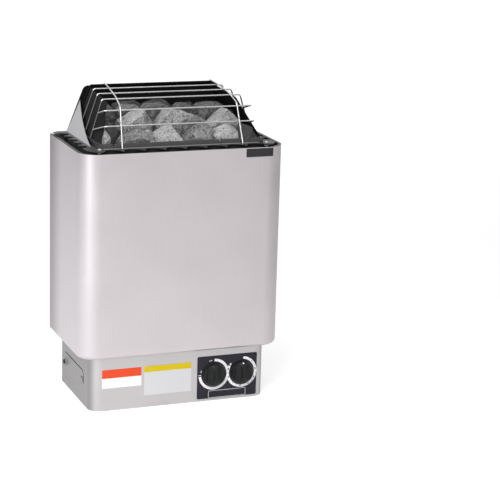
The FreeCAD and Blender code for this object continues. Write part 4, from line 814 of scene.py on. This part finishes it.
class SAUNA_OT_stones(bpy.types.Operator):
    """Turns the upper frame blocks into weathered stones and finishes the hidden ones"""
    bl_idname = "sauna.stones"
    bl_label = "Stones"

    def execute(self, context):
        stones = context.scene.sauna_stones
        material = rock_finish(stones)
        dress(("stones_lower",), material)
        shape = merged_copy("stones_upper")
        bmesh.ops.dissolve_limit(shape, angle_limit=STONE_FLAT_ANGLE, verts=shape.verts[:],
                                 edges=shape.edges[:])
        walls = heap_walls(shape)
        without_heap(shape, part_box("outer_casing")[1].z)
        set_apart(shape, stones.spacing)
        tone = shape.verts.layers.float.new("tone")
        for vert in shape.verts:
            vert[tone] = BURIED_TONE
        add_rocks(shape, walls)
        worn = shape.verts.layers.float.new("worn")
        rounded = bmesh.ops.bevel(shape, geom=shape.edges[:], offset=stones.edge_round, segments=2,
                                  profile=0.5, affect="EDGES", clamp_overlap=True, material=-1)
        for vert in rounded["verts"]:
            vert[worn] = 1.0
        bmesh.ops.remove_doubles(shape, verts=shape.verts[:], dist=STONE_WELD)
        bmesh.ops.triangulate(shape, faces=shape.faces[:])
        refined(shape, stones.facet)
        roughened(shape, stones.roughness)
        mark_lift(shape)
        mark_crevices(shape)
        bmesh.ops.recalc_face_normals(shape, faces=shape.faces[:])
        sharpened(shape, STONE_SHARP_ANGLE)
        piece = new_piece("stone_pile", shape, material, "heater")
        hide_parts("stones_upper")
        return {"FINISHED"}


def arc_strip(shape, centre, radius, width, height, start, sweep):
    """Adds a flat ring part to the print, clockwise from a clock angle in degrees."""
    begin = math.radians(start)
    outward = Vector((math.sin(begin), 0.0, math.cos(begin)))
    corners = []
    for reach, lift in ((radius - width, 0.0), (radius, 0.0), (radius, height), (radius - width, height)):
        corners.append(shape.verts.new(centre + outward * reach + Vector((0.0, -lift, 0.0))))
    face = shape.faces.new(corners)
    bmesh.ops.spin(shape, geom=[face, *face.edges, *face.verts], cent=centre, axis=(0.0, 1.0, 0.0),
                   angle=math.radians(sweep), steps=int(sweep / ARC_STEP), use_merge=False,
                   use_duplicate=False)


def bar_mark(shape, middle, size, turn=0.0):
    """Adds a small raised block to the print, turned clockwise on the plate's face."""
    turned = Matrix.Rotation(math.radians(turn), 4, "Y")
    place = Matrix.Translation(middle) @ turned @ Matrix.Diagonal((*size, 1.0))
    bmesh.ops.create_cube(shape, size=1.0, matrix=place)


def dot_mark(shape, middle, radius, height, tilt=0.0):
    """Adds a small raised disc to the print, tilted up from the front."""
    place = Matrix.Translation(middle) @ Matrix.Rotation(math.radians(90.0 - tilt), 4, "X")
    bmesh.ops.create_cone(shape, cap_ends=True, segments=28, radius1=radius, radius2=radius, depth=height,
                          matrix=place)


def numeral(shape, text, middle, size, height):
    """Adds a raised numeral to the print, facing the front."""
    curve = bpy.data.curves.new("numeral", "FONT")
    curve.body = text
    curve.size = size
    curve.extrude = height / 2
    curve.offset = NUMERAL_WEIGHT
    curve.align_x = "CENTER"
    curve.align_y = "CENTER"
    holder = bpy.data.objects.new("numeral", curve)
    mesh = bpy.data.meshes.new_from_object(holder)
    mesh.transform(Matrix.Translation(middle) @ Matrix.Rotation(math.radians(90.0), 4, "X"))
    shape.from_mesh(mesh)
    bpy.data.objects.remove(holder)
    bpy.data.curves.remove(curve)
    bpy.data.meshes.remove(mesh)


def on_ring(centre, radius, clock):
    """A point on a dial at a clock angle in degrees."""
    angle = math.radians(clock)
    return centre + Vector((math.sin(angle) * radius, 0.0, math.cos(angle) * radius))


class SAUNA_OT_dial_plate(bpy.types.Operator):
    """Finishes the dial plate and adds its printed rings, ticks, numerals and empty frame"""
    bl_idname = "sauna.dial_plate"
    bl_label = "Dial plate"

    def execute(self, context):
        dials = context.scene.sauna_dials
        plate = painted("dial_plate", tuple(dials.plate_colour), rough=0.42, pit=0.1, gloss=0.2)
        dress(("control_plate",), plate)
        ink = painted("white_print", tuple(dials.print_colour), rough=0.5, pit=0.08)
        height = dials.print_height
        radius = dials.ring_radius
        width = dials.ring_width
        middle = radius - width / 2
        left = Vector((THERMOSTAT_PLACE.x, PLATE_FACE, THERMOSTAT_PLACE.z))
        right = Vector((TIMER_PLACE.x, PLATE_FACE, TIMER_PLACE.z))
        lift = Vector((0.0, -height / 2, 0.0))
        shape = bmesh.new()
        arc_strip(shape, left, radius, width, height, start=2.0, sweep=262.0)
        bar_mark(shape, on_ring(left, middle, -14.0) + lift, (6.0 * MM, height, 1.3 * MM), turn=-14.0)
        bar_mark(shape, on_ring(left, middle, -90.0) + lift, (6.5 * MM, height, 1.2 * MM))
        arc_strip(shape, on_ring(left, middle, -75.0), 2.6 * MM, 0.9 * MM, height, start=20.0, sweep=150.0)
        arc_strip(shape, right, radius, width, height * RING_RISE, start=SCALE_START, sweep=SCALE_SWEEP)
        dot_mark(shape, on_ring(right, middle, 11.0) + lift, 2.7 * MM, height)
        dot_mark(shape, on_ring(right, middle, -53.0) + lift, 2.0 * MM, height)
        self.add_frame(shape, lift, height)
        bmesh.ops.recalc_face_normals(shape, faces=shape.faces[:])
        new_piece("dial_print", shape, ink, "heater")
        self.add_scale(dials, right)
        return {"FINISHED"}

    def add_frame(self, shape, lift, height):
        """An empty frame of thin lines along the plate's foot."""
        low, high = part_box("control_plate")
        left = low.x + FRAME_LEFT
        right = high.x - FRAME_RIGHT
        foot = low.z + FRAME_FOOT
        top = low.z + FRAME_TOP
        for z in (foot, top):
            place = Vector(((left + right) / 2, PLATE_FACE, z)) + lift
            bar_mark(shape, place, (right - left, height, FRAME_LINE))
        for x in (left, right):
            place = Vector((x, PLATE_FACE, (foot + top) / 2)) + lift
            bar_mark(shape, place, (FRAME_LINE, height, top - foot))

    def add_scale(self, dials, centre):
        """Dark ticks and numerals on the timer's ring."""
        dark = painted("dark_print", tuple(dials.plate_colour), rough=0.5, pit=0.08)
        height = dials.print_height * SCALE_RISE
        middle = dials.ring_radius - dials.ring_width / 2
        lift = Vector((0.0, -dials.print_height * RING_RISE - height / 2, 0.0))
        shape = bmesh.new()
        for number in range(1, HOURS + 1):
            clock = SCALE_START + number * HOUR_STEP
            numeral(shape, str(number), on_ring(centre, middle, clock) + lift, NUMERAL_SIZE, height)
            before = clock - HOUR_STEP / 2
            tick = on_ring(centre, middle + TICK_RISE, before) + lift
            bar_mark(shape, tick, (TICK_WIDTH, height, TICK_LENGTH), turn=before)
        bmesh.ops.remove_doubles(shape, verts=shape.verts[:], dist=PRINT_WELD)
        bmesh.ops.recalc_face_normals(shape, faces=shape.faces[:])
        new_piece("timer_scale", shape, dark, "heater")


class SAUNA_OT_knobs(bpy.types.Operator):
    """Gives the two knobs eased edges and a moulded finish, and the timer's knob a white index mark"""
    bl_idname = "sauna.knobs"
    bl_label = "Knobs"

    def execute(self, context):
        dials = context.scene.sauna_dials
        black = plastic("knob_plastic", tuple(dials.knob_colour), rough=0.4, gloss=0.22)
        ink = painted("index_print", tuple(dials.print_colour), rough=0.5, pit=0.08)
        for name, centre in (("thermostat", THERMOSTAT_PLACE), ("timer", TIMER_PLACE)):
            node = name + "_knob"
            shape = merged_copy(node)
            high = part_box(node)[1]
            for vert in shape.verts:
                out = Vector((vert.co.x - centre.x, 0.0, vert.co.z - centre.z))
                if out.length > KNOB_HUB:
                    vert.co -= out * (KNOB_TAPER * min(1.0, (high.y - vert.co.y) / KNOB_RIM))
            bmesh.ops.dissolve_limit(shape, angle_limit=KNOB_FLAT_ANGLE, verts=shape.verts[:],
                                     edges=shape.edges[:])
            sharp = [edge for edge in shape.edges if edge.calc_face_angle(0.0) > KNOB_SHARP_ANGLE]
            bmesh.ops.bevel(shape, geom=sharp, offset=KNOB_EASE, segments=3, profile=0.5, affect="EDGES",
                            clamp_overlap=True, material=-1)
            bmesh.ops.triangulate(shape, faces=shape.faces[:])
            for face in shape.faces:
                face.smooth = True
            piece = new_piece(node + "_moulding", shape, black, name + "_dial")
            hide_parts(node)
        low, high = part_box("timer_knob")
        mark = bmesh.new()
        place = Vector((TIMER_PLACE.x, low.y + INDEX_DEPTH, high.z - INDEX_DROP))
        dot_mark(mark, place, radius=1.6 * MM, height=0.3 * MM, tilt=38.0)
        new_piece("timer_knob_index", mark, ink, "timer_dial")
        return {"FINISHED"}


class SAUNA_OT_stickers(bpy.types.Operator):
    """Finishes the blank coloured stickers"""
    bl_idname = "sauna.stickers"
    bl_label = "Stickers"

    def execute(self, context):
        finish = Finish("sticker_paper")
        across, _, up = finish.axes(finish.place())
        fibres = finish.noise(finish.place(), scale=900.0, detail=3.0, rough=0.6)
        orange = finish.mix(fibres * 0.15, (0.78, 0.075, 0.02), (0.70, 0.065, 0.018))
        yellow = finish.mix(fibres * 0.15, (0.66, 0.50, 0.006), (0.60, 0.45, 0.006))
        white = finish.mix(fibres * 0.3, (0.86, 0.86, 0.86), (0.78, 0.78, 0.78))
        grey = finish.mix(fibres * 0.3, (0.63, 0.63, 0.64), (0.55, 0.55, 0.56))
        left = finish.mix(up > LEFT_BAND, white, orange)
        right = finish.mix(up > RIGHT_BAND, grey, yellow)
        colours = finish.mix(across < STICKER_SPLIT, right, left)
        paper = finish.coat(Base_Color=colours, Roughness=fibres * 0.1 + 0.42, Specular_IOR_Level=0.2,
                            Normal=finish.bump(fibres, 0.1, SURFACE_DEPTH))
        foil = plastic("black_foil", (0.016, 0.015, 0.018), rough=0.45, gloss=0.35)
        dress(("box_stickers",), paper)
        dress(("casing_sticker",), foil)
        return {"FINISHED"}


class SAUNA_OT_inside(bpy.types.Operator):
    """Finishes the elements, wiring and controls inside"""
    bl_idname = "sauna.inside"
    bl_label = "Inner pieces"

    def execute(self, context):
        dress(ELEMENT_NODES, plain_metal("element_sheath", (0.20, 0.19, 0.185), rough=0.5))
        dress(BRASS_NODES, plain_metal("brass", (0.66, 0.49, 0.2), rough=0.35))
        dress(COPPER_NODES, plain_metal("copper", (0.64, 0.33, 0.2), rough=0.35))
        dress(CERAMIC_NODES, painted("ceramic", (0.76, 0.73, 0.67), rough=0.35, pit=0.1))
        dress(GREY_PLASTIC_NODES, plastic("grey_plastic", (0.16, 0.16, 0.165), rough=0.45))
        dress(BLACK_PLASTIC_NODES, plastic("black_plastic", (0.02, 0.02, 0.021), rough=0.45))
        dress(("element_leads",), plastic("silicone", (0.4, 0.09, 0.045), rough=0.5))
        dress(("reset_button",), plastic("button_plastic", (0.012, 0.004, 0.004), rough=0.4))
        return {"FINISHED"}


def lamp(name, place, aim, size, power, colour):
    """Adds an area lamp that points at a place."""
    light = bpy.data.lights.new(name, "AREA")
    light.shape = "RECTANGLE"
    light.size, light.size_y = size
    light.energy = power
    light.color = colour
    holder = bpy.data.objects.new(name, light)
    holder.location = place
    holder.rotation_euler = (Vector(aim) - Vector(place)).to_track_quat("-Z", "Y").to_euler()
    bpy.context.scene.collection.objects.link(holder)


class SAUNA_OT_stage(bpy.types.Operator):
    """Adds the floor, the surroundings, the lamps and the camera"""
    bl_idname = "sauna.stage"
    bl_label = "Stage"

    def execute(self, context):
        stage = context.scene.sauna_stage
        self.add_floor(stage)
        self.add_world(context)
        for settings in LAMPS:
            lamp(*settings)
        self.add_camera(context, stage)
        context.scene.view_settings.view_transform = "Standard"
        return {"FINISHED"}

    def add_floor(self, stage):
        finish = Finish("floor")
        dust = finish.noise(finish.place(), scale=3.0, detail=2.0)
        pale = tuple(stage.floor_colour)
        finish.coat(Base_Color=finish.mix(dust, shade(pale, 0.99), pale), Roughness=0.9)
        seen = finish.add("ShaderNodeLightPath", None, None, "Is Camera Ray")
        glossy = finish.add("ShaderNodeLightPath", None, None, "Is Glossy Ray")
        through = finish.add("ShaderNodeLightPath", None, None, "Is Transmission Ray")
        _, deep, _ = finish.axes(finish.place())
        white = deep.between(FAR_START, FAR_END) * FAR_GAIN + NEAR_WHITE
        share = seen * white + glossy.math("MAXIMUM", through) * MIRRORED_WHITE
        glow = finish.add("ShaderNodeEmission", None, {"Color": rgba(WHITE), "Strength": stage.floor_glow})
        shaded = Term(finish, finish.shader.outputs[0])
        blend = finish.add("ShaderNodeMixShader", None, {0: share, 1: shaded, 2: glow})
        output = next(node for node in finish.tree.nodes if node.type == "OUTPUT_MATERIAL")
        finish.fill(output.inputs["Surface"], blend)
        shape = bmesh.new()
        bmesh.ops.create_grid(shape, x_segments=1, y_segments=1, size=30.0)
        mesh = bpy.data.meshes.new("floor")
        shape.to_mesh(mesh)
        shape.free()
        mesh.materials.append(finish.material)
        floor = bpy.data.objects.new("floor", mesh)
        bpy.context.scene.collection.objects.link(floor)

    def add_world(self, context):
        world = bpy.data.worlds.new("studio")
        context.scene.world = world
        world.use_nodes = True
        tree = world.node_tree
        back = next(node for node in tree.nodes if node.type == "BACKGROUND")
        back.inputs["Color"].default_value = rgba(WHITE)
        rays = tree.nodes.new("ShaderNodeLightPath")
        seen = rays.outputs["Is Camera Ray"]
        for kind in ("Is Glossy Ray", "Is Transmission Ray"):
            either = tree.nodes.new("ShaderNodeMath")
            either.operation = "MAXIMUM"
            tree.links.new(seen, either.inputs[0])
            tree.links.new(rays.outputs[kind], either.inputs[1])
            seen = either.outputs[0]
        level = tree.nodes.new("ShaderNodeMapRange")
        level.inputs["To Min"].default_value = FILL_LIGHT
        level.inputs["To Max"].default_value = 1.0
        tree.links.new(seen, level.inputs["Value"])
        tree.links.new(level.outputs[0], back.inputs["Strength"])

    def add_camera(self, context, stage):
        yaw, pitch, roll = stage.camera_yaw, stage.camera_pitch, stage.camera_roll
        back = Vector((math.sin(yaw) * math.cos(pitch), -math.cos(yaw) * math.cos(pitch), math.sin(pitch)))
        level = (-back).cross(Vector((0.0, 0.0, 1.0))).normalized()
        upward = level.cross(-back)
        right = level * math.cos(roll) + upward * math.sin(roll)
        top = upward * math.cos(roll) - level * math.sin(roll)
        camera = bpy.data.cameras.new("photo_camera")
        camera.sensor_width = 36.0
        camera.lens = stage.lens
        camera.clip_end = 100.0
        holder = bpy.data.objects.new("photo_camera", camera)
        axes = Matrix((right, top, back)).transposed().to_4x4()
        holder.matrix_world = Matrix.Translation(Vector(stage.camera_place)) @ axes
        context.scene.collection.objects.link(holder)
        context.scene.camera = holder


OPERATORS = (SAUNA_OT_stage, SAUNA_OT_steel, SAUNA_OT_guard, SAUNA_OT_stones, SAUNA_OT_dial_plate,
             SAUNA_OT_knobs, SAUNA_OT_stickers, SAUNA_OT_inside)
SETTINGS = {"sauna_steel": SteelSettings, "sauna_stones": StoneSettings, "sauna_dials": DialSettings,
            "sauna_stage": StageSettings}


class SAUNA_PT_panel(bpy.types.Panel):
    """Lists the heater's sizes, colours and making steps"""
    bl_label = "Sauna heater"
    bl_idname = "SAUNA_PT_panel"
    bl_space_type = "VIEW_3D"
    bl_region_type = "UI"
    bl_category = "Sauna heater"

    def draw(self, context):
        for name, kind in SETTINGS.items():
            column = self.layout.column()
            for setting in kind.__annotations__:
                column.prop(getattr(context.scene, name), setting)
        for operator in OPERATORS:
            self.layout.operator(operator.bl_idname)


def register():
    for name, kind in SETTINGS.items():
        bpy.utils.register_class(kind)
        setattr(bpy.types.Scene, name, bpy.props.PointerProperty(type=kind))
    for kind in OPERATORS + (SAUNA_PT_panel,):
        bpy.utils.register_class(kind)


def unregister():
    for kind in (SAUNA_PT_panel,) + OPERATORS[::-1]:
        bpy.utils.unregister_class(kind)
    for name, kind in SETTINGS.items():
        delattr(bpy.types.Scene, name)
        bpy.utils.unregister_class(kind)


def main():
    register()
    bpy.ops.sauna.stage()
    bpy.ops.sauna.steel()
    bpy.ops.sauna.guard()
    bpy.ops.sauna.stones()
    bpy.ops.sauna.dial_plate()
    bpy.ops.sauna.knobs()
    bpy.ops.sauna.stickers()
    bpy.ops.sauna.inside()
    bpy.context.view_layer.update()


if __name__ == "__main__":
    main()
